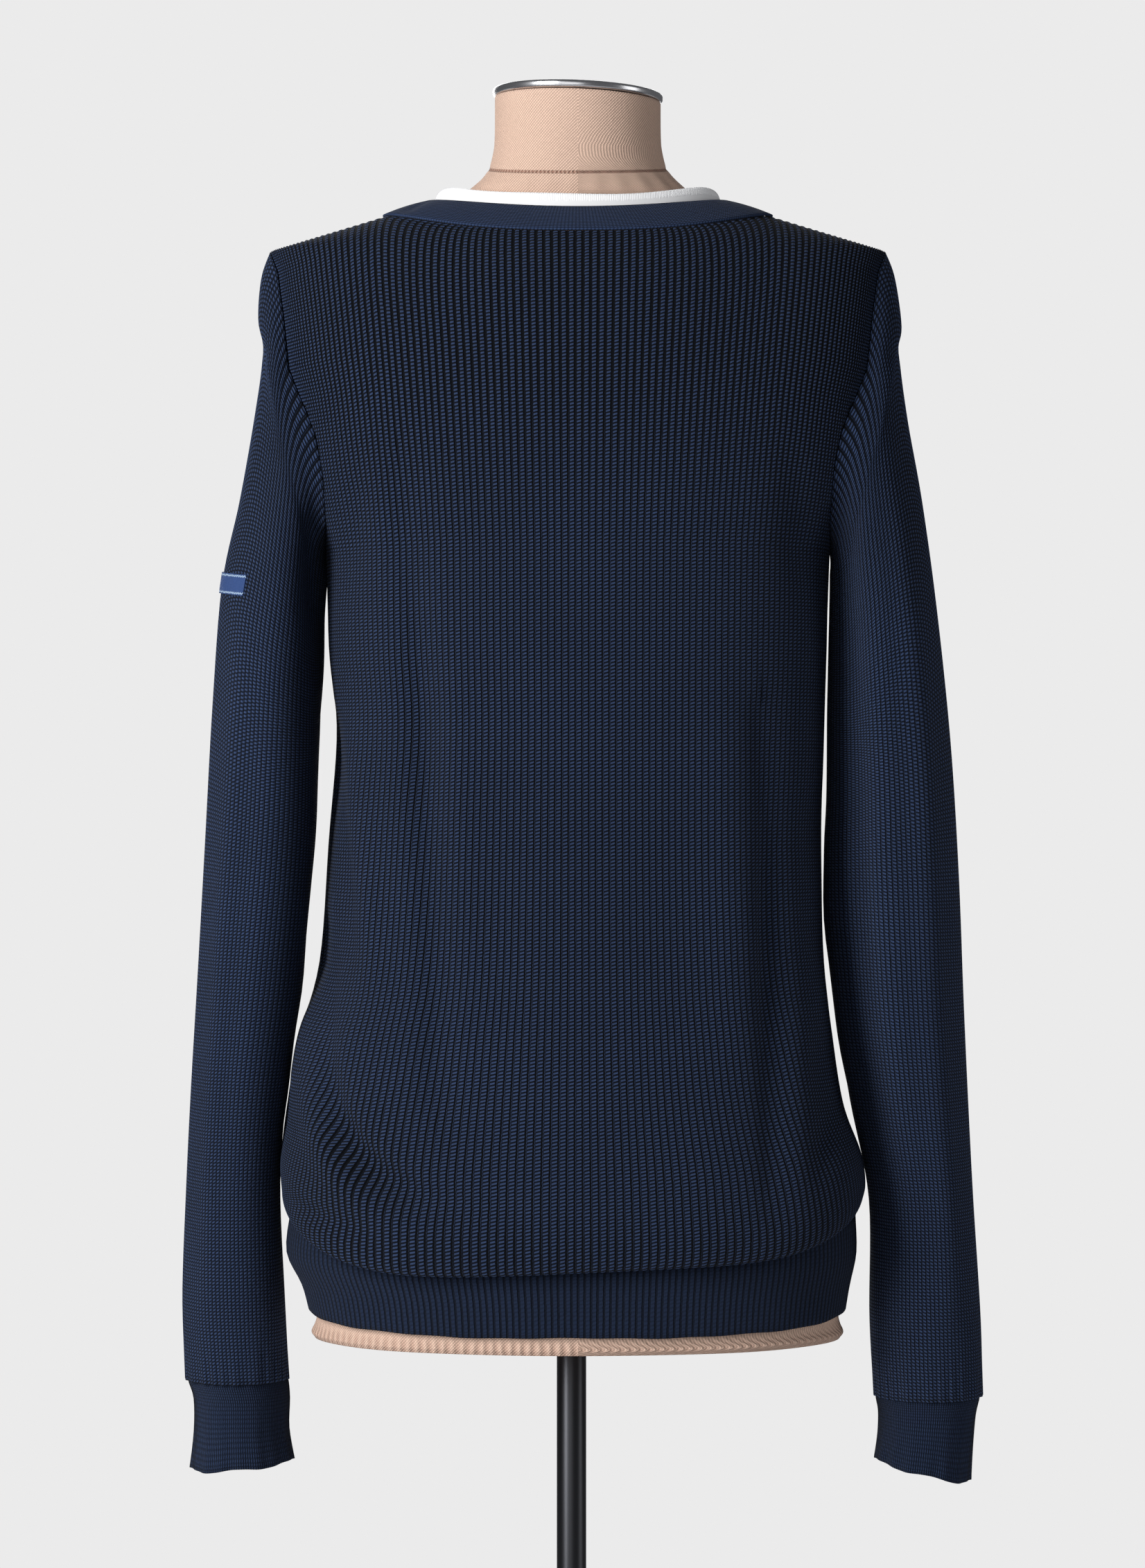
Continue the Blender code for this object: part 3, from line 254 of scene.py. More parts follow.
SleeveRing = namedtuple("SleeveRing", "outer_x outer_height inner_x inner_height half_depth y")
LEFT_SLEEVE = [
    SleeveRing(0.1864, 0.6555, 0.1529, 0.4740, 0.0600, 0.000),
    SleeveRing(0.1916, 0.6400, 0.1545, 0.4660, 0.0610, 0.000),
    SleeveRing(0.1934, 0.6160, 0.1555, 0.4550, 0.0615, 0.000),
    SleeveRing(0.1908, 0.5930, 0.1562, 0.4440, 0.0610, 0.000),
    SleeveRing(0.1950, 0.5600, 0.1570, 0.4290, 0.0600, -0.001),
    SleeveRing(0.2046, 0.5060, 0.1575, 0.4050, 0.0590, -0.002),
    SleeveRing(0.2155, 0.4550, 0.1576, 0.3720, 0.0580, -0.003),
    SleeveRing(0.2215, 0.3820, 0.1580, 0.3350, 0.0570, -0.005),
    SleeveRing(0.2262, 0.3000, 0.1605, 0.2900, 0.0550, -0.007),
    SleeveRing(0.2310, 0.2170, 0.1700, 0.2170, 0.0520, -0.009),
    SleeveRing(0.2350, 0.1500, 0.1785, 0.1500, 0.0490, -0.010),
    SleeveRing(0.2380, 0.0900, 0.1812, 0.0900, 0.0460, -0.011),
    SleeveRing(0.2405, 0.0220, 0.1784, 0.0220, 0.0420, -0.012),
    SleeveRing(0.2385, -0.0280, 0.1755, -0.0280, 0.0370, -0.012),
]
RIGHT_SLEEVE = [
    SleeveRing(0.1864, 0.6555, 0.1529, 0.4740, 0.0600, 0.000),
    SleeveRing(0.1920, 0.6400, 0.1545, 0.4660, 0.0610, 0.000),
    SleeveRing(0.1960, 0.6110, 0.1552, 0.4550, 0.0615, 0.000),
    SleeveRing(0.1946, 0.5930, 0.1556, 0.4440, 0.0610, 0.000),
    SleeveRing(0.1995, 0.5550, 0.1560, 0.4260, 0.0605, -0.001),
    SleeveRing(0.2085, 0.5050, 0.1560, 0.4000, 0.0600, -0.002),
    SleeveRing(0.2175, 0.4400, 0.1550, 0.3660, 0.0590, -0.003),
    SleeveRing(0.2260, 0.3600, 0.1545, 0.3280, 0.0580, -0.005),
    SleeveRing(0.2312, 0.2800, 0.1545, 0.2780, 0.0560, -0.007),
    SleeveRing(0.2345, 0.2000, 0.1590, 0.2000, 0.0540, -0.009),
    SleeveRing(0.2375, 0.1360, 0.1672, 0.1360, 0.0510, -0.010),
    SleeveRing(0.2405, 0.0800, 0.1772, 0.0800, 0.0470, -0.011),
    SleeveRing(0.2450, 0.0100, 0.1775, 0.0100, 0.0430, -0.012),
    SleeveRing(0.2462, -0.0380, 0.1800, -0.0380, 0.0380, -0.012),
]
SEAT_ROWS = 3.0
SEAM_DROP = 0.0021  # how far the sleeve's seam allowance goes in behind the body's cloth
SEAM_ALLOWANCE = 0.0030
SEAM_ROWS = 2  # rows of the mesh in that allowance
SLEEVE_MESH_ROWS = 84
CUFF_MESH_ROWS = 16
ARMHOLE_MIDDLE = (TIP_HEIGHT + UNDERARM.height) / 2
# Creases on a sleeve: across is degrees round it from the outer edge towards the back, up is the height.
DEGREE = 0.0007  # how far one degree round a sleeve is taken to be
LEFT_SLEEVE_FOLDS = [
    Fold(((100, 0.570), (104, 0.450), (108, 0.330), (106, 0.180), (104, 0.040)), 0.018, 0.022, 0.0048),
    Fold(((140, 0.580), (142, 0.480), (146, 0.410)), 0.012, 0.014, -0.0046),
    Fold(((138, 0.420), (140, 0.250), (138, 0.100), (136, -0.010)), 0.020, 0.018, 0.0066),
    Fold(((82, 0.440), (80, 0.300), (84, 0.160), (88, 0.050)), 0.010, 0.012, -0.0014),
    Fold(((36, 0.420), (34, 0.300), (38, 0.160), (40, 0.040)), 0.012, 0.014, -0.0016),
    Fold(((61, 0.430), (61, 0.250), (63, 0.080), (61, -0.010)), 0.010, 0.012, 0.0022),
    Fold(((250, 0.540), (256, 0.420), (250, 0.290)), 0.014, 0.016, -0.0034),
    Fold(((300, 0.380), (296, 0.240), (302, 0.080)), 0.014, 0.014, 0.0026),
    Fold(((232, 0.260), (240, 0.130), (236, 0.000)), 0.012, 0.012, -0.0026),
    Fold(((6, 0.600), (30, 0.594), (60, 0.586)), 0.006, 0.008, -0.0020),
    Fold(((330, 0.470), (300, 0.450), (276, 0.424)), 0.012, 0.014, -0.0024),
    Fold(((178, 0.520), (180, 0.450), (181, 0.375)), 0.022, 0.022, 0.0048),
    Fold(((178, 0.250), (180, 0.185), (181, 0.125)), 0.020, 0.020, 0.0034),
]
RIGHT_SLEEVE_FOLDS = [
    Fold(((103, 0.560), (104, 0.420), (102, 0.260), (100, 0.100)), 0.014, 0.016, 0.0036),
    Fold(((132, 0.560), (132, 0.400), (130, 0.240), (128, 0.100)), 0.012, 0.014, -0.0030),
    Fold(((85, 0.520), (85, 0.380), (86, 0.200), (88, 0.040)), 0.009, 0.010, -0.0020),
    Fold(((66, 0.540), (66, 0.380), (64, 0.200), (66, 0.020)), 0.010, 0.012, 0.0030),
    Fold(((38, 0.400), (42, 0.270), (38, 0.140), (42, 0.020)), 0.013, 0.015, -0.0016),
    Fold(((254, 0.540), (248, 0.400), (252, 0.270)), 0.014, 0.016, -0.0034),
    Fold(((304, 0.360), (300, 0.230), (298, 0.070)), 0.014, 0.014, 0.0026),
    Fold(((236, 0.250), (232, 0.120), (240, -0.010)), 0.012, 0.012, -0.0026),
    Fold(((148, 0.240), (144, 0.120), (150, 0.000)), 0.010, 0.010, -0.0020),
    Fold(((8, 0.598), (34, 0.592), (64, 0.584)), 0.006, 0.008, -0.0020),
    Fold(((178, 0.490), (180, 0.360), (181, 0.220)), 0.022, 0.022, 0.0050),
    Fold(((178, 0.290), (180, 0.215), (181, 0.150)), 0.020, 0.020, 0.0040),
]

# The first row of a cuff is the edge tucked up inside the sleeve.
Cuff = namedtuple("Cuff", "outer_x outer_height inner_x inner_height half_depth y")
LEFT_CUFF = [
    Cuff(0.2350, -0.0235, 0.1782, -0.0235, 0.0336, -0.012),
    Cuff(0.2370, -0.0285, 0.1762, -0.0285, 0.0355, -0.012),
    Cuff(0.2336, -0.0400, 0.1750, -0.0400, 0.0340, -0.012),
    Cuff(0.2332, -0.0600, 0.1752, -0.0580, 0.0335, -0.012),
    Cuff(0.2352, -0.0825, 0.1720, -0.0765, 0.0345, -0.012),
]
RIGHT_CUFF = [
    Cuff(0.2427, -0.0335, 0.1835, -0.0335, 0.0338, -0.012),
    Cuff(0.2445, -0.0385, 0.1812, -0.0385, 0.0360, -0.012),
    Cuff(0.2420, -0.0500, 0.1826, -0.0480, 0.0345, -0.012),
    Cuff(0.2400, -0.0700, 0.1820, -0.0620, 0.0340, -0.012),
    Cuff(0.2385, -0.0900, 0.1800, -0.0760, 0.0345, -0.012),
]

LABEL_HEIGHT = 0.456
LABEL_WIDTH = 0.0125
LABEL_TILT = 0.004
LABEL_TURNS = (-16.0, 60.0)
LABEL_OFF = 0.0005
LABEL_WALL = 0.0007
LABEL_COLUMNS = 48
LABEL_ROWS = 12
LABEL_THREADS = 26

Girth = namedtuple("Girth", "height half_width back front power")
FORM = [
    Girth(0.0000, 0.1585, 0.1050, 0.1045, 2.25),
    Girth(0.0030, 0.1606, 0.1072, 0.1070, 2.25),
    Girth(0.0070, 0.1590, 0.1068, 0.1068, 2.25),
    Girth(0.0110, 0.1578, 0.1062, 0.1066, 2.25),
    Girth(0.0600, 0.1575, 0.1060, 0.1060, 2.25),
    Girth(0.1100, 0.1530, 0.1050, 0.1045, 2.3),
    Girth(0.1800, 0.1440, 0.0980, 0.1000, 2.4),
    Girth(0.2900, 0.1300, 0.0810, 0.0890, 2.4),
    Girth(0.3600, 0.1330, 0.0830, 0.0960, 2.4),
    Girth(0.4300, 0.1410, 0.0930, 0.1080, 2.4),
    Girth(0.4740, 0.1460, 0.0990, 0.1090, 2.4),
    Girth(0.5300, 0.1590, 0.1020, 0.1000, 2.35),
    Girth(0.5800, 0.1690, 0.1010, 0.0870, 2.3),
    Girth(0.6200, 0.1740, 0.0955, 0.0740, 2.15),
    Girth(0.6400, 0.1730, 0.0870, 0.0650, 2.05),
    Girth(0.6510, 0.1680, 0.0780, 0.0580, 2.0),
    Girth(0.6570, 0.1570, 0.0690, 0.0530, 2.0),
    Girth(0.6690, 0.1235, 0.0555, 0.0480, 2.0),
    Girth(0.6780, 0.0950, 0.0515, 0.0465, 2.0),
    Girth(0.6850, 0.0750, 0.0508, 0.0478, 2.0),
    Girth(0.6920, 0.0670, 0.0510, 0.0490, 2.0),
    Girth(0.7000, 0.0580, 0.0505, 0.0495, 2.0),
    Girth(0.7070, 0.0534, 0.0502, 0.0495, 2.0),
    Girth(0.7200, 0.0506, 0.0500, 0.0495, 2.0),
    Girth(0.7475, 0.0502, 0.0498, 0.0495, 2.0),
]
FORM_SIDES = 160
FORM_MESH_ROWS = 190
NECK_SEAM_HEIGHT = 0.7062
NECK_SEAM_SLOPE = -0.17  # the seam runs lower at the back
# How the form's mesh rows are shared out over its height
FORM_ROW_SHARES = (0, 0.08, 0.72, 1)
FORM_ROW_HEIGHTS = (0, 0.012, 0.650, FORM[-1].height)
PLATE_EDGE = 0.0016
STEEL_EDGE = 0.0015
COLLAR_BORE = 0.0092
TURNED_STEPS = 96
SHARP_ANGLE = 35

# Stage
Lamp = namedtuple("Lamp", "name place size power")
LAMPS = (
    Lamp("key", (1.75, 1.80, 1.85), (0.9, 1.8), 82),
    Lamp("fill", (-2.8, 0.7, 1.4), (1.2, 2.0), 14),
    Lamp("camera_fill", (0.5, 3.3, 1.6), (1.6, 1.6), 11),
    Lamp("front_fill", (0.4, -3.0, 2.0), (1.6, 1.8), 48),
)
LAMPS_AIM = (0, 0, 1.15)
CAMERA_PLACE = (0.0061, 2.75, 1.1335)
CAMERA_LENS = 104.17
SENSOR_WIDTH = 36
FLOOR_RADIUS = 3.2


# Shapes

def between(table, v):
    """The columns of a table at row number v, on a smooth curve through its rows."""
    rows = np.array(table, float)
    last = len(rows) - 1
    v = np.clip(np.asarray(v, float), 0.0, last)
    i = np.minimum(v.astype(int), last - 1)
    t = (v - i)[..., None]
    start = rows[i]
    end = rows[i + 1]
    leaving = (end - rows[np.maximum(i - 1, 0)]) / 2
    arriving = (rows[np.minimum(i + 2, last)] - start) / 2
    return (
        (2 * t**3 - 3 * t**2 + 1) * start
        + (t**3 - 2 * t**2 + t) * leaving
        + (3 * t**2 - 2 * t**3) * end
        + (t**3 - t**2) * arriving
    )


def at_height(table, height):
    heights = [row.height for row in table]
    return between(table, np.interp(height, heights, np.arange(len(heights))))


def quarter(share, half_width, depth, power):
    """A point that share of the way along a rounded quarter ring, from its middle to its side."""
    turn = np.linspace(0, math.pi / 2, 241)
    x = half_width * np.sin(turn) ** (2 / power)
    y = depth * np.cos(turn) ** (2 / power)
    run = np.concatenate([[0], np.cumsum(np.hypot(np.diff(x), np.diff(y)))])
    return np.interp(share * run[-1], run, x), np.interp(share * run[-1], run, y)


def share_of(x, half_width, depth, power):
    shares = np.linspace(0, 1, 201)
    return float(np.interp(x, quarter(shares, half_width, depth, power)[0], shares))


def half_ring(across, left, right, depth, power):
    """Points from the right side (-1) over the middle to the left side (1): x, and how far from the middle plane."""
    on_left = quarter(np.abs(across), left, depth, power)
    on_right = quarter(np.abs(across), right, depth, power)
    return np.where(across > 0, on_left[0], -on_right[0]), np.where(across > 0, on_left[1], on_right[1])


def run_along(points):
    """How far along a row of points each one is."""
    return np.concatenate([[0], np.cumsum(np.linalg.norm(np.diff(points, axis=0), axis=-1))])


def fold_height(folds, x, height):
    """How far the folds raise or sink the cloth at places seen square on."""
    total = np.zeros_like(x)
    for fold in folds:
        path = np.array(fold.path)
        legs = np.hypot(*np.diff(path, axis=0).T)
        start = np.concatenate([[0], np.cumsum(legs)])
        best = np.full_like(x, np.inf)
        where = np.zeros_like(x)
        turned = np.zeros_like(x)
        for a, b, leg, begun in zip(path[:-1], path[1:], legs, start[:-1]):
            dx, dz = (b - a) / leg
            along = np.clip(((x - a[0]) * dx + (height - a[1]) * dz) / leg, 0, 1)
            off_x = x - a[0] - along * dx * leg
            off_z = height - a[1] - along * dz * leg
            away = np.hypot(off_x, off_z)
            nearer = away < best
            best = np.where(nearer, away, best)
            where = np.where(nearer, (begun + along * leg) / start[-1], where)
            turned = np.where(nearer, off_x * dz - off_z * dx, turned)
        width = np.where(turned > 0, fold.width, fold.far_width)
        uneven = 0.86 + 0.14 * np.sin(where * 11 + fold.path[0][0] * 90)
        fade = np.sin(math.pi * (0.10 + 0.80 * where)) * uneven
        total += fold.depth * fade * np.exp(-((best / width) ** 2))
    return total


def ring_points(face, share, v):
    """Points on the body below the underarm. face is +1 for the back and -1 for the front."""
    height, left, right, back, front, power, sway, lift = between(BODY, v)
    x, y = half_ring(share, left, right, back if face > 0 else front, power)
    z = height - sway * np.sin(math.pi * share) + lift * np.sin(np.abs(share) * math.pi / 2) ** LIFT_POWER
    return np.stack([x, face * y, z], axis=-1)


def half_width_at(height, columns):
    """Half the width of the shoulder part, which runs in along the ridge above the tips."""
    ridge = TIP_X - (height - TIP_HEIGHT) / SHOULDER_SLOPE
    return np.where(height > TIP_HEIGHT, ridge, columns[..., 1])


def surface_depth(face, x, height):
    """How far the shoulder part stands out from the middle plane at x and height."""
    columns = at_height(SHOULDERS, height)
    half_width = half_width_at(height, columns)
    depth = columns[..., 2] if face > 0 else columns[..., 3]
    power = columns[..., 4]
    ratio = np.clip(np.abs(x) / half_width, 0, 1)
    return depth * (1 - ratio**power) ** (1 / power)


def surface_normal(face, x, height):
    """The outward direction of the shoulder part. Just short of the ridge it turns upwards."""
    half_width = half_width_at(height, at_height(SHOULDERS, height))
    size = np.minimum(np.abs(x), half_width * RIDGE_REACH)
    step = 0.0003
    by_x = (surface_depth(face, size, height) - surface_depth(face, size - step, height)) / step
    low = surface_depth(face, size, height - step)
    by_height = (surface_depth(face, size, height) - low) / step
    square = face * np.clip(surface_depth(face, x, height) / RIDGE_ROUND, 0, 1)
    direction = np.stack([-np.sign(x) * by_x, square, -by_height], axis=-1)
    return direction / np.linalg.norm(direction, axis=-1, keepdims=True)


def top_height(face, x):
    """The height of the shoulder seam at x or, at the back's middle, of the neckline."""
    across = np.abs(x)
    ridge = TIP_HEIGHT + (TIP_X - across) * SHOULDER_SLOPE
    if face < 0:
        return ridge
    neck_point = TIP_HEIGHT + (TIP_X - NECK_POINT_X) * SHOULDER_SLOPE
    share = np.clip(across / NECK_POINT_X, 0, 1)
    neckline = BACK_NECK_HEIGHT + (neck_point - BACK_NECK_HEIGHT) * share**NECK_CURVE
    return np.where(across < NECK_POINT_X, neckline, ridge)


def upper_points(face, x, rise):
    """Points between the underarm (rise 0) and the shoulder seam or neckline (rise 1)."""
    top = top_height(face, x)
    height = top - (top - UNDERARM.height) * (1 - rise) ** 2
    return np.stack([x, face * surface_depth(face, x, height), height], axis=-1)


def armhole_x(height):
    return np.interp(height, [row.height for row in ARMHOLE], [row.x for row in ARMHOLE])


def neck_edge_x(height):
    """Where a front's edge is: beside the band up to the V, and then along the V."""
    run = (NECK_POINT_X - BAND_WIDTH / 2) / (top_height(-1, NECK_POINT_X) - V_HEIGHT)
    return BAND_WIDTH / 2 + np.maximum(height - V_HEIGHT, 0) * run


def meeting_x(edge, face, rise):
    """Where a row of the shoulder part meets an edge that is given as x for each height."""
    x = TIP_X
    for _ in range(40):
        x = float(edge(upper_points(face, np.array([x]), rise)[0, 2]))
    return x


def surface_directions(points):
    """Outward directions of a grid of points that runs to the left and upwards over the back."""
    sideways = np.gradient(points, axis=1)
    upwards = np.gradient(points, axis=0)
    direction = np.cross(sideways, upwards)
    size = np.linalg.norm(direction, axis=-1, keepdims=True)
    return direction / np.maximum(size, 1e-12)


def rib_relief(ribs, depth):
    """How far below its crest line a raised rib's surface lies, from 0 to depth."""
    return depth * (0.5 - 0.5 * np.cos(2 * math.pi * (ribs - CREST)))


def openness(x, height):
    """How far the body's ribs are stretched apart: most over the shoulders, and again on the lower rolls."""
    up = np.clip((height - OPEN_FROM) / OPEN_RISE, 0, 1)
    total = OPEN_LEAST + OPEN_SHOULDERS * (up * up * (3 - 2 * up))
    for roll in ROLLS:
        away = -(((x - roll.x) / roll.width) ** 2) - ((height - roll.height) / roll.tall) ** 2
        total = total + roll.amount * np.exp(away)
    bottom = np.exp(-(((height - 0.056) / 0.022) ** 2))
    return np.clip(total + OPEN_BOTTOM * bottom, 0, 1)


def rib_drift(share, v):
    """How far the ribs lean outwards, in shares of the ring, where the cloth rolls over at the hips."""
    left = DRIFT_LEFT * np.sin(math.pi * np.clip(share, 0, 1) ** DRIFT_POWER)
    right = DRIFT_RIGHT * np.sin(math.pi * np.clip(-share, 0, 1) ** DRIFT_POWER)
    return np.interp(v, DRIFT_ROWS, DRIFT_AT_ROWS) * (left - right)


def neck_fan(x, rise):
    """How far the ribs run in towards the neck at the top of the body."""
    top = np.clip((rise - FAN_FROM) / (1 - FAN_FROM), 0, 1) ** 2
    return -np.sign(x) * FAN * top * np.exp(-(((np.abs(x) - FAN_X) / FAN_WIDTH) ** 2))


def body_grid(face, side, ribs, sizes):
    """Points of a panel, and where each one is in ribs and in stitch rows. side is 0 for the whole back."""
    columns = RIB_COLUMNS * ribs
    shares = np.linspace(-1, 1, columns + 1) if side == 0 else side * np.linspace(0, 1, columns + 1)
    rows = []
    free_columns = []
    levels = [np.linspace(a, b, n, endpoint=False) for a, b, n in BODY_STRETCHES]
    levels = np.concatenate([*levels, [len(BODY) - 1.0]])
    at_underarm = ring_points(face, shares, levels[-1])[:, 0]
    for v in levels:
        across = np.clip(shares + rib_drift(shares, v), -1, 1)
        free = np.full(len(across), True)
        if side != 0:
            ring = between(BODY, v)
            width = ring[1] if side > 0 else ring[2]
            least = share_of(BAND_WIDTH / 2 + SEAM, width, ring[4], ring[5])
            free = np.abs(across) >= least
            across = side * np.maximum(np.abs(across), least)
        rows.append(ring_points(face, across, v))
        free_columns.append(free)
    lower = np.array(rows)
    directions = list(-face * surface_directions(lower) * (1 if side >= 0 else -1))
    for rise in np.linspace(0, 1, UPPER_MESH_ROWS + 1)[1:]:
        widest = meeting_x(armhole_x, face, rise)
        spread = 1 + RIB_SPREAD * math.sin(rise * math.pi / 2)
        at_edge = max(spread, widest / UNDERARM.left)
        wanted = at_underarm * (spread + (at_edge - spread) * np.abs(shares) ** 4)
        wanted = wanted + neck_fan(wanted, rise)
        size = np.minimum(np.abs(wanted), widest)
        if side != 0:
            size = np.maximum(size, meeting_x(neck_edge_x, face, rise) + SEAM)
        across = np.where(wanted < 0, -size, size) if side == 0 else side * size
        if side == 0 and rise == 1:
            # A column of the mesh ends at each corner of the neckline.
            for corner in (-NECK_POINT_X, NECK_POINT_X):
                across[np.argmin(np.abs(across - corner))] = corner
        points = upper_points(face, across, rise)
        rows.append(points)
        directions.append(surface_normal(face, points[:, 0], points[:, 2]))
        free_columns.append(np.abs(size - np.abs(wanted)) < 1e-9)
    points = np.array(rows)
    directions = np.array(directions)
    points[:, :, 1] += face * HALF_SEAM
    shown = np.ones(len(points))
    shown[: len(levels)] = np.clip((levels - FOLDS_FROM) / 2, 0, 1)
    folds = BACK_FOLDS if face > 0 else FRONT_FOLDS
    lift = shown[:, None] * fold_height(folds, points[:, :, 0], points[:, :, 2])
    # Folds run out at the side seams, where the back and the fronts meet.
    lift = lift * np.clip((1 - np.abs(shares)) / SEAM_FADE, 0, 1)
    rib = np.arange(columns + 1) / RIB_COLUMNS
    opened = openness(points[:, :, 0], points[:, :, 2])
    # A column that is held at the panel's edge lies as deep as a groove.
    relief = np.where(np.array(free_columns), rib_relief(rib, 1.0)[None, :], 1.0) * sizes.rib_depth * opened
    relief[-1] *= SEAM_RELIEF
    points = points + directions * (lift - relief)[:, :, None]
    return points, rib, run_along(points[:, columns // 2]) / STITCH_ROW, opened


def hem_grid(face, first, last, ribs, sizes):
    """Points of a stretch of the hem band, between two shares of a turn."""
    columns = RIB_COLUMNS * ribs
    shares = np.linspace(first, last, columns + 1)
    rib = np.arange(columns + 1) / RIB_COLUMNS
    rows = []
    for v in np.linspace(0, len(HEM) - 1, HEM_MESH_ROWS + 1):
        height, left, right, back, front, lift = between(HEM, v)
        depth = back if face > 0 else front
        across = shares
        if face < 0:
            least = share_of(BAND_WIDTH / 2 + SEAM, left if last > 0 else right, depth, HEM_POWER)
            across = np.sign(last) * (least + (1 - least) * np.abs(shares))
        x, y = half_ring(across, left, right, depth, HEM_POWER)
        z = height + lift * np.sin(np.abs(across) * math.pi / 2) ** LIFT_POWER
        ripple = 0.0003 * np.sin(across * 13 + 1.3) + 0.0002 * np.sin(across * 37)
        z = z + ripple * (v < 1)
        rows.append(np.stack([x, face * (y + HALF_SEAM), z], axis=-1))
    points = np.array(rows)
    outward = points * (1, 1, 0)
    outward = outward / np.linalg.norm(outward, axis=-1, keepdims=True)
    relief = sizes.hem_rib_depth * (0.5 + 0.5 * np.cos(2 * math.pi * rib))
    points = points - outward * relief[None, :, None]
    return points, rib, np.linspace(0, (HEM[-1].height - HEM[0].height) / STITCH_ROW, len(points))


def oval(ring, turn):
    """A point on a sleeve's ring, turn round it from its outer edge towards the back."""
    outer_x, outer_height, inner_x, inner_height, half_depth, y = ring
    reach = np.cos(turn)
    x = (outer_x + inner_x) / 2 + reach * (outer_x - inner_x) / 2
    z = (outer_height + inner_height) / 2 + reach * (outer_height - inner_height) / 2
    return np.stack([x, y + half_depth * np.sin(turn), z], axis=-1)


def armhole_edge(face):
    """The points of a panel's edge at the armhole, from the underarm to the shoulder tip."""
    rises = np.linspace(0, 1, UPPER_MESH_ROWS + 1)
    return np.array([upper_points(face, np.array([meeting_x(armhole_x, face, r)]), r)[0] for r in rises])


ARMHOLE_EDGES = {}


def armhole_points(turn):
    """The armhole's outline, which the sleeve's head is sewn to."""
    if not ARMHOLE_EDGES:
        ARMHOLE_EDGES.update({face: armhole_edge(face) for face in (1, -1)})
    height = ARMHOLE_MIDDLE + np.cos(turn) * (TIP_HEIGHT - UNDERARM.height) / 2
    back, front = ARMHOLE_EDGES[1], ARMHOLE_EDGES[-1]
    x, y = (np.where(np.sin(turn) > 0, np.interp(height, back[:, 2], back[:, k]),
                     np.interp(height, front[:, 2], front[:, k])) for k in (0, 1))
    gap = np.interp(height, (TIP_HEIGHT - TIP_CLOSES, TIP_HEIGHT), (SEAM + HALF_SEAM, TIP_GAP))
    return np.stack([x + gap, y + HALF_SEAM * np.sign(np.sin(turn)), height], axis=-1)


def turned_in(points):
    """The sleeve with its seam allowance, turned in behind the edges of the body."""
    inward = -(points[0] - (0, 0, ARMHOLE_MIDDLE)) * (0, 1, 1)
    inward /= np.linalg.norm(inward, axis=-1, keepdims=True)
    dropped = points[0] + inward * SEAM_DROP
    return np.concatenate([[dropped + inward * SEAM_DROP / 3 - (SEAM_ALLOWANCE, 0, 0)], [dropped], points])


def sleeve_grid(table, folds, sizes):
    """Points of a left-hand sleeve, from the armhole down."""
    columns = RIB_COLUMNS * SLEEVE_RIBS
    turn = np.linspace(0, 2 * math.pi, columns + 1)
    rib = np.arange(columns + 1) / RIB_COLUMNS
    levels = np.linspace(0, len(table) - 1, SLEEVE_MESH_ROWS + 1)
    seat = armhole_points(turn) - oval(table[0], turn)
    rows = []
    for v in levels:
        seated = max(0.0, 1 - v / SEAT_ROWS) ** 1.5
        rows.append(oval(between(table, v), turn) + seated * seat)
    points = np.array(rows)
    points[:, -1] = points[:, 0]  # the last column closes on the first
    around = np.gradient(points, axis=1)
    around[:, 0] = around[:, -1] = (points[:, 1] - points[:, -2]) / 2
    outward = np.cross(around, np.gradient(points, axis=0))
    outward /= np.maximum(np.linalg.norm(outward, axis=-1, keepdims=True), 1e-12)
    middle = points.mean(axis=1, keepdims=True)
    outward *= np.sign(np.sum(outward * (points - middle), axis=-1).mean())
    degrees = np.degrees(turn)[None, :] * DEGREE
    height = points[:, :, 2]
    scaled = [fold._replace(path=[(a * DEGREE, z) for a, z in fold.path]) for fold in folds]
    lift = sum(fold_height(scaled, degrees + k * 360 * DEGREE + 0 * height, height) for k in (-1, 0, 1))
    ends = np.clip(levels / 1.5, 0, 1) * np.clip((len(table) - 1 - levels) / 0.8, 0, 1)
    opened = 0.24 + 0.50 * np.exp(-(((height - 0.56) / 0.12) ** 2))
    relief = rib_relief(rib, sizes.rib_depth)[None, :] * opened
    # Where the cuff gathers it, the sleeve's end ripples.
    gather = np.exp(-((levels - (len(table) - 1)) / 0.45) ** 2)[:, None] * np.sin(turn * 23 + 2 * np.sin(turn * 5))
    lift = lift * ends[:, None] - relief + gather * 0.0005
    points = points + outward * lift[:, :, None]
    points, opened = turned_in(points), np.vstack([opened[:1], opened[:1], opened])
    return points, rib, run_along(points[:, columns // 4]) / STITCH_ROW, opened


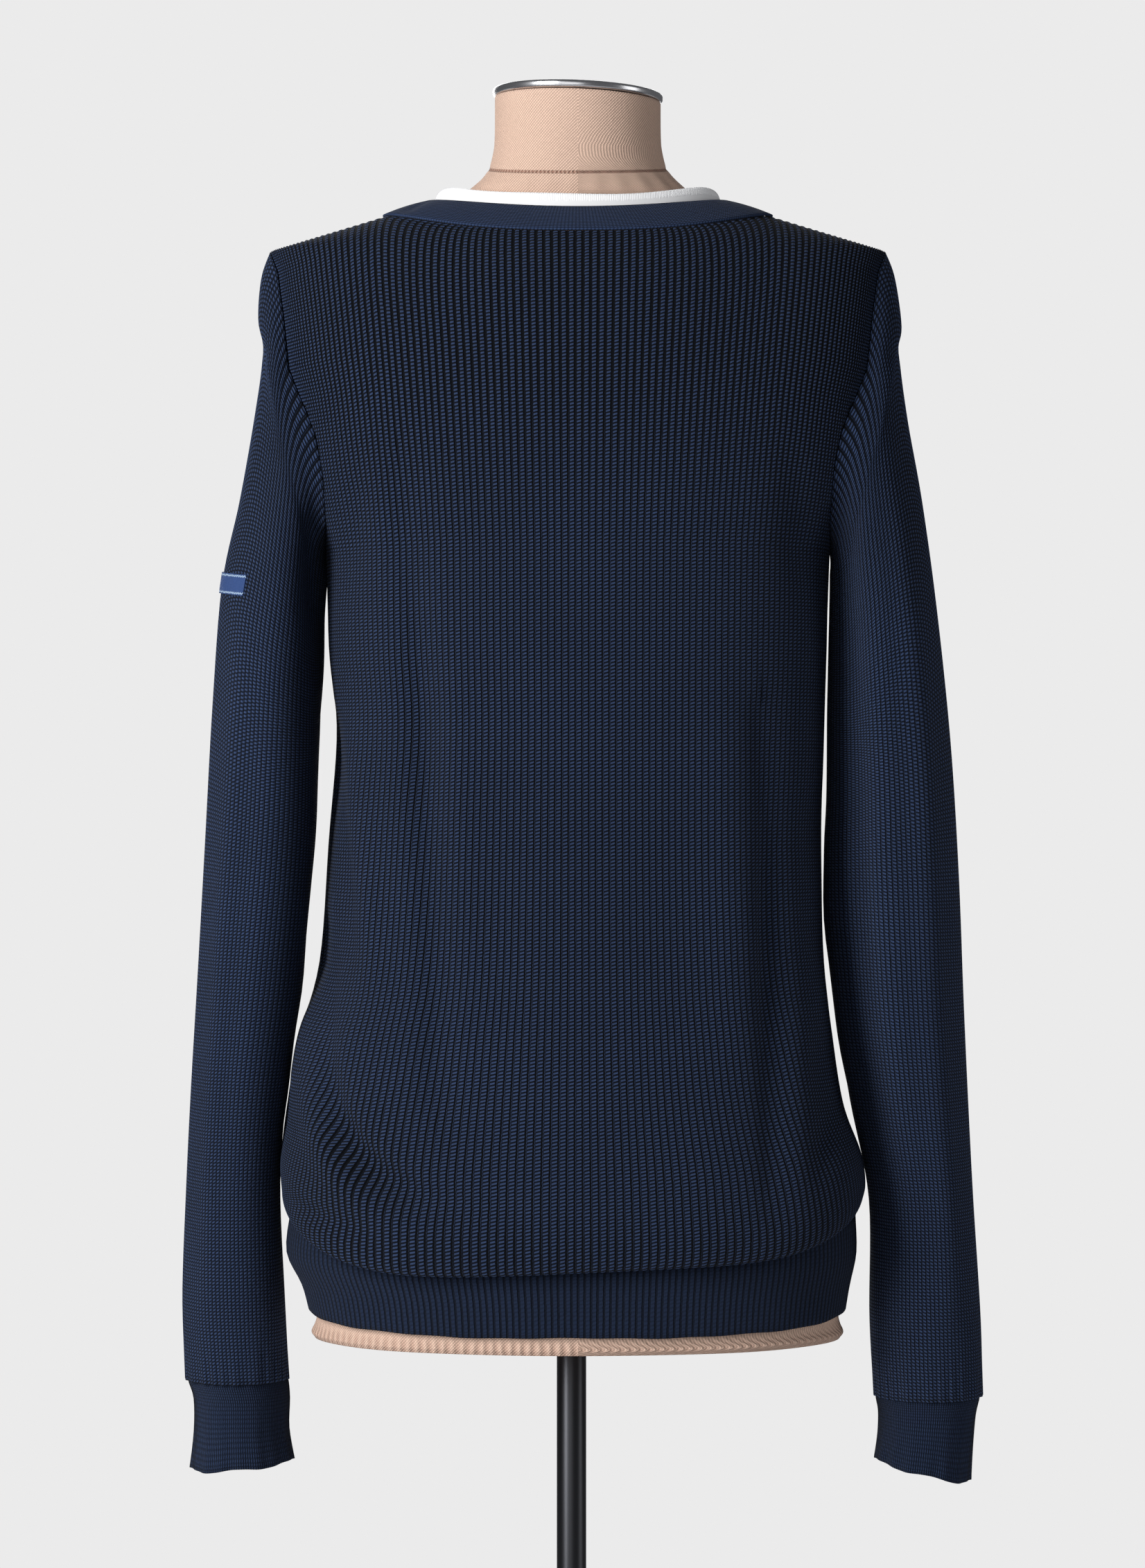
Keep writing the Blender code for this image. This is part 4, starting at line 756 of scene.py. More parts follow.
def cuff_grid(table, sizes):
    """Points of a left-hand cuff, from the edge inside the sleeve down."""
    columns = CUFF_RIB_COLUMNS * CUFF_RIBS
    turn = np.linspace(0, 2 * math.pi, columns + 1)
    rib = np.arange(columns + 1) / CUFF_RIB_COLUMNS
    rows = []
    levels = np.linspace(0, len(table) - 1, CUFF_MESH_ROWS + 1)
    for v in levels:
        points = oval(between(table, v), turn)
        outward = points - points.mean(axis=0)
        outward[:, 2] = 0
        outward /= np.linalg.norm(outward, axis=-1, keepdims=True)
        loose = (v / levels[-1]) ** 3
        ripple = 0.0006 * np.sin(turn * 7 + 1) + 0.0004 * np.sin(turn * 17)
        relief = 0.5 * sizes.cuff_rib_depth * (1 - np.cos(2 * math.pi * rib))
        points = points + outward * (ripple * loose - relief)[:, None]
        points[:, 2] += loose * 0.0008 * np.sin(turn * 5 + 0.4)
        rows.append(points)
    run = (table[0].outer_height - table[-1].outer_height) / STITCH_ROW
    return np.array(rows), rib, np.linspace(0, run, len(levels))


def band_edges(side):
    """Rows of a front band's seam edge and free edge, from the hem to the shoulder seam."""
    out = BAND_STEP if side > 0 else -BAND_STEP
    seam = []
    free = []
    for ring in (*HEM[:3], *BODY[5:]):
        seam.append((BAND_WIDTH / 2 - SEAM, -ring.front - HALF_SEAM, ring.height))
        free.append((-BAND_WIDTH / 2, -ring.front - HALF_SEAM - out, ring.height))
    for k in range(UPPER_ROWS):
        rise = (k + 1) / UPPER_ROWS
        x = meeting_x(neck_edge_x, -1, rise)
        at_seam = upper_points(-1, np.array([x]), rise)[0]
        run = np.array(BAND_RUN) * (1 - rise**3)
        run += np.array([BAND_TOP_X - NECK_POINT_X, BAND_TOP_HEIGHT - top_height(-1, NECK_POINT_X)]) * rise**3
        over = (x + run[0], at_seam[2] + run[1])
        depth = max(float(surface_depth(-1, *over)), 0)
        fade = max(0.0, 1 - rise / BAND_STEP_GONE)
        seam.append((x + SEAM / 2, at_seam[1] - HALF_SEAM, at_seam[2]))
        free.append((over[0], -depth - HALF_SEAM - out * fade, over[1]))
    return np.array(seam), np.array(free)


def neckband_edges(columns):
    """The back neckband's seam edge and free edge, from the right shoulder to the left."""
    turn = np.linspace(-math.pi / 2, math.pi / 2, columns + 1)
    x = NECK_POINT_X * np.sin(turn)
    height = top_height(1, x)
    y = surface_depth(1, x, height)
    seam = np.stack([x, np.maximum(y, 0) + HALF_SEAM, height + SEAM], axis=-1)
    seam[:, 0] *= 1 - SEAM / NECK_POINT_X
    rise = BAND_BACK_HEIGHT + (BAND_TOP_HEIGHT - BAND_BACK_HEIGHT) * np.sin(turn) ** 2
    free = np.stack([BAND_TOP_X * np.sin(turn), BAND_BACK_DEPTH * np.cos(turn) + HALF_SEAM, rise], axis=-1)
    return seam, free


def strip(seam, free, across, bulge, facing):
    """Points of a strip of cloth between two edges, a little fuller along its middle, and its inward directions."""
    shares = np.linspace(0, 1, across + 1)[None, :, None]
    points = seam[:, None, :] * (1 - shares) + free[:, None, :] * shares
    inward = facing * np.cross(np.gradient(points, axis=1), np.gradient(points, axis=0))
    inward /= np.linalg.norm(inward, axis=-1, keepdims=True)
    return points - inward * bulge * (4 * shares * (1 - shares)), inward


def finer(edge, step):
    """A row of points with more between them, on a smooth curve through them."""
    run = run_along(edge)
    count = int(run[-1] / step)
    return between(edge, np.interp(np.linspace(0, run[-1], count + 1), run, np.arange(len(edge))))


# Meshes

def on_form(points, side=1):
    """Moves points from the form's own axis and bottom edge to their place, mirrored for the right side."""
    placed = np.array(points, float)
    placed[..., 0] = FORM_X + side * placed[..., 0]
    placed[..., 2] += FORM_BOTTOM
    return placed


def finished(name, bm, material, smooth=True):
    """An object of that mesh, at the origin."""
    mesh = bpy.data.meshes.new(name)
    bm.to_mesh(mesh)
    bm.free()
    mesh.materials.append(material)
    if smooth:
        mesh.shade_smooth()
    obj = bpy.data.objects.new(name, mesh)
    bpy.context.scene.collection.objects.link(obj)
    return obj


def make_grid(name, points, ribs, rows, material, thickness=0.0, offset=-1.0, towards=None, opened=None):
    """A sheet whose points are given row by row, with its ribs and stitch rows as its UV map.

    An open sheet faces the direction towards. Without one, the sheet closes to a tube and faces outwards.
    """
    count_rows, count_columns = points.shape[:2]
    ribs = np.broadcast_to(ribs, (count_rows, count_columns))
    bm = bmesh.new()
    layer = bm.verts.layers.float.new("open")
    bmesh.ops.create_grid(bm, x_segments=count_columns - 1, y_segments=count_rows - 1, size=1.0)
    uv = bm.loops.layers.uv.new("stitches")
    place = {}
    for vert in bm.verts:
        i = round((vert.co.x + 1) / 2 * (count_columns - 1))
        j = round((vert.co.y + 1) / 2 * (count_rows - 1))
        place[vert] = (i, j)
    for vert, (i, j) in place.items():
        vert.co = points[j, i]
        vert[layer] = 0.5 if opened is None else opened[j, i]
    for face in bm.faces:
        for loop in face.loops:
            i, j = place[loop.vert]
            loop[uv].uv = (ribs[j, i], rows[j])
    bmesh.ops.remove_doubles(bm, verts=bm.verts, dist=1e-6)
    if towards is None:
        bmesh.ops.recalc_face_normals(bm, faces=bm.faces)
        centre = sum((v.co for v in bm.verts), Vector()) / len(bm.verts)
        facing = sum(f.normal.dot((f.calc_center_median() - centre) * Vector((1, 1, 0))) for f in bm.faces)
    else:
        facing = sum((f.normal * f.calc_area() for f in bm.faces), Vector()).dot(Vector(towards))
    if facing < 0:
        bmesh.ops.reverse_faces(bm, faces=bm.faces)
    obj = finished(name, bm, material)
    if thickness:
        wall = obj.modifiers.new("cloth", "SOLIDIFY")
        wall.thickness = thickness
        wall.offset = offset
        wall.use_even_offset = False
    return obj


def make_turned(name, profile, centre_x, material, bottom=0.0):
    """A solid of revolution from a profile of radii and heights."""
    bm = bmesh.new()
    verts = [bm.verts.new((r, 0, z + bottom)) for r, z in profile]
    edges = [bm.edges.new(pair) for pair in zip(verts[:-1], verts[1:])]
    bmesh.ops.spin(bm, geom=verts + edges, axis=(0, 0, 1), cent=(0, 0, 0), angle=2 * math.pi,
                   steps=TURNED_STEPS, use_merge=True, use_duplicate=False)
    bmesh.ops.remove_doubles(bm, verts=bm.verts, dist=1e-6)
    bmesh.ops.recalc_face_normals(bm, faces=bm.faces)
    bmesh.ops.translate(bm, verts=bm.verts, vec=(centre_x, 0, 0))
    obj = finished(name, bm, material)
    obj.data.set_sharp_from_angle(angle=math.radians(SHARP_ANGLE))
    return obj


def rounded(edge, degrees):
    """Points round the quarter of a small edge, from its top to its side."""
    return [(edge * math.sin(a), edge * math.cos(a)) for a in np.radians(degrees)]


def declare(obj, node):
    """Tells the frame what a piece moves with and what it replaces."""
    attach(obj, "root")
    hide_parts(node)


# Materials

def put(tree, kind, *values, **settings):
    """A shader node with its settings, and its inputs linked or set in order."""
    made = tree.nodes.new(kind)
    for key, value in settings.items():
        setattr(made, key, value)
    for index, value in enumerate(values):
        if isinstance(value, bpy.types.NodeSocket):
            tree.links.new(value, made.inputs[index])
        elif value is not None:
            made.inputs[index].default_value = value
    return made


def maths(tree, operation, *values):
    return put(tree, "ShaderNodeMath", *values, operation=operation).outputs[0]


def wave(tree, value):
    """A cosine of full turns, from 0 to 1."""
    turned = maths(tree, "MULTIPLY", value, 2 * math.pi)
    return maths(tree, "MULTIPLY_ADD", maths(tree, "COSINE", turned), 0.5, 0.5)


def new_group(name, inputs, outputs):
    group = bpy.data.node_groups.new(name, "ShaderNodeTree")
    for label, kind, default in inputs:
        socket = group.interface.new_socket(name=label, in_out="INPUT", socket_type=kind)
        if default is not None:
            socket.default_value = default
    for label, kind in outputs:
        group.interface.new_socket(name=label, in_out="OUTPUT", socket_type=kind)
    return group, put(group, "NodeGroupInput"), put(group, "NodeGroupOutput")


FLOAT = "NodeSocketFloat"
VECTOR = "NodeSocketVector"


def step_down(tree, value, start, end):
    """1 below start, 0 above end, and smooth between them."""
    made = put(tree, "ShaderNodeMapRange", value, interpolation_type="SMOOTHSTEP")
    for label, edge in (("From Min", start), ("From Max", end)):
        if isinstance(edge, bpy.types.NodeSocket):
            tree.links.new(edge, made.inputs[label])
        else:
            made.inputs[label].default_value = edge
    made.inputs["To Min"].default_value = 1.0
    made.inputs["To Max"].default_value = 0.0
    return made.outputs[0]


def knit_group():
    """Stitches stacked on ribs. The vector counts ribs in x and stitch rows in y. Its shade output is painted shade:
    dark in the grooves and between the stitches, and a painted highlight on the loops.
    """
    group, source, result = new_group(
        "Knit stitches",
        [("Vector", VECTOR, None), ("Open", FLOAT, 0.5), ("Slant", FLOAT, 0.5), ("Crest", FLOAT, CREST),
         ("Between", FLOAT, 0.9), ("Fuzz", FLOAT, 0.2), ("Stitch", FLOAT, 0.8)],
        [("Height", FLOAT), ("Painted shade", FLOAT)],
    )
    inputs = source.outputs
    parts = put(group, "ShaderNodeSeparateXYZ", inputs["Vector"])
    ribs, rows = parts.outputs[0], parts.outputs[1]
    wobble = maths(group, "MULTIPLY_ADD", noise_of(group, inputs["Vector"], 0.9, 2.0, "2D"), 0.14, 0.43)
    # 0 and 1 are the groove on either side of a rib.
    across = maths(group, "FRACT", maths(group, "ADD", maths(group, "SUBTRACT", inputs["Crest"], ribs), wobble))
    from_middle = maths(group, "SUBTRACT", across, 0.53)
    edge = maths(group, "MULTIPLY_ADD", inputs["Open"], -0.07, 0.29)
    crest = step_down(group, maths(group, "ABSOLUTE", from_middle), edge, maths(group, "ADD", edge, 0.13))
    # The loops on the rib lean, one above the other.
    leg = maths(group, "SUBTRACT", rows, maths(group, "MULTIPLY", from_middle, inputs["Slant"]))
    along = maths(group, "ABSOLUTE", maths(group, "SUBTRACT", maths(group, "FRACT", leg), 0.5))
    stitch = step_down(group, along, 0.14, 0.46)
    gap = maths(group, "MULTIPLY", maths(group, "SUBTRACT", 1.0, stitch), inputs["Stitch"])
    loops = maths(group, "MULTIPLY", crest, maths(group, "SUBTRACT", 1.0, gap))
    loops = maths(group, "MULTIPLY", loops, maths(group, "MULTIPLY_ADD", from_middle, 0.30, 0.92))
    # Beside the groove the next stitch shows as a thin broken line, where the knit lies closed.
    line = step_down(group, maths(group, "ABSOLUTE", maths(group, "SUBTRACT", across, 0.10)), 0.025, 0.075)
    broken = maths(group, "FRACT", maths(group, "ADD", rows, 0.5))
    broken = maths(group, "ABSOLUTE", maths(group, "SUBTRACT", broken, 0.5))
    broken = maths(group, "MULTIPLY_ADD", step_down(group, broken, 0.20, 0.50), 0.65, 0.35)
    line = maths(group, "MULTIPLY", maths(group, "MULTIPLY", line, broken), inputs["Between"])
    line = maths(group, "MULTIPLY", line, maths(group, "SUBTRACT", 1.0, inputs["Open"]))
    fuzz = noise_of(group, inputs["Vector"], 3.1, 3.0)
    fuzzed = maths(group, "MULTIPLY", maths(group, "SUBTRACT", fuzz, 0.5), inputs["Fuzz"])
    height = maths(group, "ADD", maths(group, "MAXIMUM", loops, line), fuzzed)
    group.links.new(height, result.inputs["Height"])
    # Painted shade: the colour follows the stitches' height, dark in the grooves and gaps and light on the loops.
    painted_shade = maths(group, "POWER", maths(group, "MAXIMUM", height, 0.0), 1.2)
    group.links.new(painted_shade, result.inputs["Painted shade"])
    return group


def weave_group():
    """A plain twill: threads across and up, the upper ones stepping sideways. Its shade output is painted shade
    between the threads, with real slub in the yarn.
    """
    group, source, result = new_group(
        "Twill weave",
        [("Vector", VECTOR, None), ("Threads", FLOAT, 700.0)],
        [("Height", FLOAT), ("Painted shade", FLOAT)],
    )
    parts = put(group, "ShaderNodeSeparateXYZ", source.outputs["Vector"])
    across = maths(group, "MULTIPLY", parts.outputs[0], source.outputs["Threads"])
    up = maths(group, "MULTIPLY", parts.outputs[1], source.outputs["Threads"])
    diagonal = wave(group, maths(group, "MULTIPLY", maths(group, "ADD", across, up), 0.5))
    threads = wave(group, maths(group, "MULTIPLY", maths(group, "SUBTRACT", across, up), 0.5))
    slub = noise_of(group, source.outputs["Vector"], 420.0, 4.0)
    height = maths(group, "MULTIPLY", maths(group, "MULTIPLY_ADD", threads, 0.6, 0.4), diagonal)
    group.links.new(height, result.inputs["Height"])
    # Painted shade from the threads' height, plus real slub.
    painted_shade = maths(group, "MULTIPLY_ADD", slub, 0.25, maths(group, "MULTIPLY", height, 0.75))
    group.links.new(painted_shade, result.inputs["Painted shade"])
    return group


def mottling_group():
    """Soft unevenness of a surface over several centimetres."""
    group, source, result = new_group(
        "Soft mottling", [("Vector", VECTOR, None), ("Scale", FLOAT, 14.0)], [("Amount", FLOAT)],
    )
    noise = noise_of(group, source.outputs["Vector"], source.outputs["Scale"], 3.0)
    group.links.new(noise, result.inputs["Amount"])
    return group


def new_material(name, roughness, metallic=0.0):
    material = bpy.data.materials.new(name)
    material.use_nodes = True
    tree = material.node_tree
    shader = tree.nodes["Principled BSDF"]
    shader.inputs["Roughness"].default_value = roughness
    shader.inputs["Metallic"].default_value = metallic
    return material, tree, shader


def use_group(tree, group, vector, **values):
    made = tree.nodes.new("ShaderNodeGroup")
    made.node_tree = group
    tree.links.new(vector, made.inputs["Vector"])
    for key, value in values.items():
        made.inputs[key.replace("_", " ").capitalize()].default_value = value
    return made


def bump(tree, shader, height, distance, strength=1.0):
    made = put(tree, "ShaderNodeBump")
    made.inputs["Strength"].default_value = strength
    made.inputs["Distance"].default_value = distance
    tree.links.new(height, made.inputs["Height"])
    tree.links.new(made.outputs[0], shader.inputs["Normal"])


def mixed(tree, share, first, second):
    """The first colour where share is 0, the second where it is 1, and between them elsewhere."""
    made = put(tree, "ShaderNodeMix", data_type="RGBA")
    tree.links.new(share, made.inputs[0])
    for index, value in ((6, first), (7, second)):
        if isinstance(value, bpy.types.NodeSocket):
            tree.links.new(value, made.inputs[index])
        else:
            made.inputs[index].default_value = (*value, 1.0)
    return made.outputs[2]


def multiplied(tree, first, second):
    """The product of two colours."""
    made = put(tree, "ShaderNodeMix", data_type="RGBA", blend_type="MULTIPLY")
    made.inputs[0].default_value = 1.0
    tree.links.new(first, made.inputs[6])
    tree.links.new(second, made.inputs[7])
    return made.outputs[2]


def shaded(colour, amount):
    return tuple(c * amount for c in colour)


def texture_place(tree):
    return put(tree, "ShaderNodeTexCoord").outputs["Object"]


def noise_of(tree, vector, scale, detail, dimensions="3D"):
    made = put(tree, "ShaderNodeTexNoise", vector, noise_dimensions=dimensions)
    made.inputs["Detail"].default_value = detail
    if isinstance(scale, bpy.types.NodeSocket):
        tree.links.new(scale, made.inputs["Scale"])
    else:
        made.inputs["Scale"].default_value = scale
    return made.outputs[0]


def knit_material(name, colour, groups, slant, dark, light, depth, stitch, crest=CREST, between_ribs=0.9, fuzz=0.2):
    """Knitted yarn of one colour with painted shade: dark between the stitches and in the grooves, and a painted
    highlight on their loops.
    """
    material, tree, shader = new_material(name, 0.95)
    uv = put(tree, "ShaderNodeUVMap", uv_map="stitches").outputs[0]
    knit = use_group(tree, groups["knit"], uv, slant=slant, crest=crest, between=between_ribs, fuzz=fuzz,
                     stitch=stitch)
    opened = put(tree, "ShaderNodeAttribute", attribute_name="open")
    tree.links.new(opened.outputs["Fac"], knit.inputs["Open"])
    place = texture_place(tree)
    mottling = use_group(tree, groups["mottling"], place, scale=16.0)
    # Painted shade and highlight: dark is the yarn's colour in the shaded grooves and gaps, light on the lit loops.
    yarn = mixed(tree, knit.outputs["Painted shade"], shaded(colour, dark), shaded(colour, light))
    patches = mixed(tree, mottling.outputs[0], (0.84, 0.84, 0.84), (1.16, 1.16, 1.16))
    tree.links.new(multiplied(tree, yarn, patches), shader.inputs["Base Color"])
    shader.inputs["Sheen Weight"].default_value = 0.02
    shader.inputs["Sheen Roughness"].default_value = 0.5
    shader.inputs["Specular IOR Level"].default_value = 0.12
    bump(tree, shader, knit.outputs["Height"], depth)
    return material


def canvas_material(colour, groups):
    material, tree, shader = new_material("form_canvas", 0.85)
    place = texture_place(tree)
    uv = put(tree, "ShaderNodeUVMap", uv_map="stitches").outputs[0]
    weave = use_group(tree, groups["weave"], uv, threads=1060.0)
    mottling = use_group(tree, groups["mottling"], place, scale=22.0)
    # The canvas's colour with painted shade between the threads of the twill.
    threads = mixed(tree, weave.outputs["Painted shade"], shaded(colour, 0.55), shaded(colour, 1.36))
    patches = mixed(tree, mottling.outputs[0], (0.95, 0.94, 0.93), (1.05, 1.05, 1.05))
    run = put(tree, "ShaderNodeSeparateXYZ", uv).outputs[0]
    _, depth, height = put(tree, "ShaderNodeSeparateXYZ", place).outputs
    # The neck seam is sewn with small darker stitches, and the cover is gathered under the form's edge, where the
    # gathers get painted shade.
    above = maths(tree, "SUBTRACT", maths(tree, "SUBTRACT", height, FORM_BOTTOM + NECK_SEAM_HEIGHT),
                  maths(tree, "MULTIPLY", depth, NECK_SEAM_SLOPE))
    stitches = maths(tree, "MULTIPLY_ADD", wave(tree, maths(tree, "MULTIPLY", run, 400.0)), 0.5, 0.5)
    seam = maths(tree, "MULTIPLY", step_down(tree, maths(tree, "ABSOLUTE", above), 0.0003, 0.0012), stitches)
    puckers = maths(tree, "MULTIPLY_ADD", mottling.outputs[0], 1.2, maths(tree, "MULTIPLY", run, 175.0))
    under_edge = step_down(tree, height, FORM_BOTTOM + 0.004, FORM_BOTTOM + 0.012)
    gathers = maths(tree, "MULTIPLY", wave(tree, puckers), under_edge)
    # Darker along the seam's stitches, and painted shade in the gathers under the edge.
    darker = maths(tree, "MAXIMUM", seam, maths(tree, "MULTIPLY", gathers, 0.4))
    seam_and_gather_shade = mixed(tree, darker, (1, 1, 1), (0.42, 0.30, 0.27))
    cover = multiplied(tree, multiplied(tree, threads, patches), seam_and_gather_shade)
    tree.links.new(cover, shader.inputs["Base Color"])
    sunk = maths(tree, "MAXIMUM", seam, gathers)
    bump(tree, shader, maths(tree, "MULTIPLY_ADD", sunk, -4.0, weave.outputs["Height"]), 0.00025, 0.9)
    return material


def metal_material(name, colour, groups, roughness, spread, streaks):
    """Metal whose gloss varies along its drawn or turned direction."""
    material, tree, shader = new_material(name, roughness, 1.0)
    place = texture_place(tree)
    drawn = put(tree, "ShaderNodeMapping", place)
    drawn.inputs["Scale"].default_value = streaks
    grain = use_group(tree, groups["mottling"], drawn.outputs[0], scale=40.0)
    rough = put(tree, "ShaderNodeMapRange", grain.outputs[0])
    rough.inputs["To Min"].default_value = roughness - spread
    rough.inputs["To Max"].default_value = roughness + spread
    tree.links.new(rough.outputs[0], shader.inputs["Roughness"])
    metal = mixed(tree, grain.outputs[0], shaded(colour, 0.88), shaded(colour, 1.1))
    tree.links.new(metal, shader.inputs["Base Color"])
    return material


def button_material(colour, groups):
    material, tree, shader = new_material("button_resin", 0.55)
    place = texture_place(tree)
    mottling = use_group(tree, groups["mottling"], place, scale=160.0)
    resin = mixed(tree, mottling.outputs[0], shaded(colour, 0.7), shaded(colour, 1.7))
    tree.links.new(resin, shader.inputs["Base Color"])
    shader.inputs["Specular IOR Level"].default_value = 0.25
    return material


def label_material(colour, groups):
    """Woven ribbon: fine threads with painted shade between them, and a paler zigzag sewn along both edges."""
    material, tree, shader = new_material("woven_label", 0.6)
    uv = put(tree, "ShaderNodeUVMap", uv_map="stitches").outputs[0]
    parts = put(tree, "ShaderNodeSeparateXYZ", uv)
    along, across = parts.outputs[0], parts.outputs[1]
    edge = maths(tree, "ABSOLUTE", maths(tree, "SUBTRACT", across, 0.5))
    zigzag = maths(tree, "PINGPONG", maths(tree, "MULTIPLY", along, 1.0), 0.5)
    line = maths(tree, "ABSOLUTE", maths(tree, "SUBTRACT", edge, maths(tree, "MULTIPLY_ADD", zigzag, 0.14, 0.37)))
    on_line = maths(tree, "LESS_THAN", line, 0.035)
    length_threads = wave(tree, maths(tree, "MULTIPLY", along, 6.0))
    cross_threads = wave(tree, maths(tree, "MULTIPLY", across, 24.0))
    weave = maths(tree, "MULTIPLY", length_threads, cross_threads)
    # Painted shade between the ribbon's threads, lighter where they cross over.
    ground = mixed(tree, weave, shaded(colour, 0.75), shaded(colour, 1.3))
    place = texture_place(tree)
    mottling = use_group(tree, groups["mottling"], place, scale=300.0)
    pale = mixed(tree, mottling.outputs[0], (0.30, 0.42, 0.58), (0.42, 0.55, 0.72))
    tree.links.new(mixed(tree, on_line, ground, pale), shader.inputs["Base Color"])
    bump(tree, shader, maths(tree, "MULTIPLY_ADD", on_line, 1.0, weave), 0.0002)
    return material


MATERIALS = {}


def material(name):
    """The finishes, made once from the colours in the panel."""
    if not MATERIALS:
        colours = bpy.context.scene.cardigan_colours
        groups = {"knit": knit_group(), "weave": weave_group(), "mottling": mottling_group()}
        navy = colours.navy
        MATERIALS.update(
            rib=knit_material("rib_knit", navy, groups, slant=0.55, dark=0.03, light=1.95, depth=0.0011,
                              stitch=0.95),
            sleeve=knit_material("sleeve_knit", navy, groups, slant=0.55, dark=0.06, light=2.25, depth=0.0008,
                                 stitch=0.9),
            hem=knit_material("hem_rib", navy, groups, slant=0.4, dark=0.16, light=0.80, depth=0.0005,
                              stitch=0.30, crest=0.5),
            cuff=knit_material("cuff_rib", navy, groups, slant=0.4, dark=0.14, light=1.30, depth=0.0005,
                               stitch=0.45, crest=0.5, between_ribs=0.5),
            band=knit_material("band_rib", navy, groups, slant=0.4, dark=0.35, light=2.10, depth=0.0003,
                               stitch=0.55, crest=0.0, between_ribs=0.0),
            trim=knit_material("trim_rib", colours.trim, groups, slant=0.2, dark=0.88, light=1.08, depth=0.0002,
                               stitch=0.6, crest=0.0, between_ribs=0.0, fuzz=0.05),
            canvas=canvas_material(colours.canvas, groups),
            chrome=metal_material("plate_chrome", colours.plate, groups, roughness=0.24, spread=0.05,
                                  streaks=(1, 1, 1)),
            gunmetal=metal_material("stand_gunmetal", colours.stand, groups, roughness=0.36, spread=0.08,
                                    streaks=(1, 1, 0.02)),
            button=button_material(colours.button, groups),
            label=label_material(colours.label, groups),
        )
    return MATERIALS[name]


# What a user may change

def length(label, default, text):
    return bpy.props.FloatProperty(name=label, default=default, min=0.0, subtype="DISTANCE", unit="LENGTH",
                                   precision=4, description=text)


def colour(label, default, text):
    return bpy.props.FloatVectorProperty(name=label, default=default, size=3, min=0.0, max=1.0, subtype="COLOR",
                                         description=text)


class CardiganSizes(bpy.types.PropertyGroup):
    rib_depth: length("Rib depth", 0.0007, "How far the ribs of body and sleeves stand out of their grooves")
    hem_rib_depth: length("Hem rib depth", 0.0002, "How far the hem band's ribs stand out")
    cuff_rib_depth: length("Cuff rib depth", 0.0004, "How far the cuffs' fine ribs stand out")
    body_cloth: length("Cloth", 0.0012, "Thickness of the knit of body, sleeves, hem and cuffs")
    band_bulge: length("Band fullness", 0.0007, "How far the bands swell along their middle")
    canvas_pucker: length("Canvas pucker", 0.0005, "Depth of the small gathers under the form's neck seam")


class CardiganColours(bpy.types.PropertyGroup):
    navy: colour("Yarn", (0.0148, 0.0250, 0.0560), "Colour of the navy yarn")
    trim: colour("Trim", (0.92, 0.92, 0.93), "Colour of the white strip inside the neckband")
    canvas: colour("Canvas", (0.68, 0.475, 0.37), "Colour of the dress form's cover")
    stand: colour("Stand", (0.048, 0.049, 0.054), "Colour of the pole and base")
    plate: colour("Neck plate", (0.60, 0.60, 0.62), "Colour of the plate on the form's neck")
    button: colour("Buttons", (0.012, 0.018, 0.035), "Colour of the buttons")
    label: colour("Label", (0.024, 0.068, 0.225), "Colour of the small sleeve label")


# The pieces

class CARDIGAN_OT_body(bpy.types.Operator):
    """Make the ribbed back and fronts, with their folds"""
    bl_idname = "cardigan.body"
    bl_label = "Back and fronts"

    def execute(self, context):
        sizes = context.scene.cardigan_sizes
        for name, face, side, ribs, flat, area in (
            ("back", 1, 0, BACK_RIBS, (0.46, 0.66), 0.262),
            ("front_left", -1, 1, FRONT_RIBS, (0.23, 0.66), 0.112),
            ("front_right", -1, -1, FRONT_RIBS, (0.23, 0.66), 0.112),
        ):
            points, rib, rows, opened = body_grid(face, side, ribs, sizes)
            obj = make_grid(name + "_knit", on_form(points), rib, rows, material("rib"), sizes.body_cloth,
                            towards=(0, face, 0), opened=opened)
            declare(obj, name)
        return {"FINISHED"}


class CARDIGAN_OT_sleeves(bpy.types.Operator):
    """Make both sleeves"""
    bl_idname = "cardigan.sleeves"
    bl_label = "Sleeves"

    def execute(self, context):
        sizes = context.scene.cardigan_sizes
        for name, table, folds, side in (
            ("sleeve_left", LEFT_SLEEVE, LEFT_SLEEVE_FOLDS, 1),
            ("sleeve_right", RIGHT_SLEEVE, RIGHT_SLEEVE_FOLDS, -1),
        ):
            points, rib, rows, opened = sleeve_grid(table, folds, sizes)
            obj = make_grid(name + "_knit", on_form(points, side), rib, rows, material("sleeve"), sizes.body_cloth,
                            opened=opened)
            declare(obj, name)
        return {"FINISHED"}


class CARDIGAN_OT_ribbing(bpy.types.Operator):
    """Make the hem band and the cuffs"""
    bl_idname = "cardigan.ribbing"
    bl_label = "Hem band and cuffs"

    def execute(self, context):
        sizes = context.scene.cardigan_sizes
        for name, face, first, last, ribs, width in (
            ("hem_back", 1, -1.0, 1.0, HEM_RIBS, 0.42),
            ("hem_front_left", -1, 0.0, 1.0, HEM_RIBS // 2, 0.20),
            ("hem_front_right", -1, 0.0, -1.0, HEM_RIBS // 2, 0.20),
        ):
            points, rib, rows = hem_grid(face, first, last, ribs, sizes)
            obj = make_grid(name + "_rib", on_form(points), rib, rows, material("hem"), sizes.body_cloth,
                            towards=(0, face, 0))
            declare(obj, name)
        for name, table, side in (("cuff_left", LEFT_CUFF, 1), ("cuff_right", RIGHT_CUFF, -1)):
            points, rib, rows = cuff_grid(table, sizes)
            obj = make_grid(name + "_rib", on_form(points, side), rib, rows, material("cuff"), sizes.body_cloth)
            declare(obj, name)
        return {"FINISHED"}


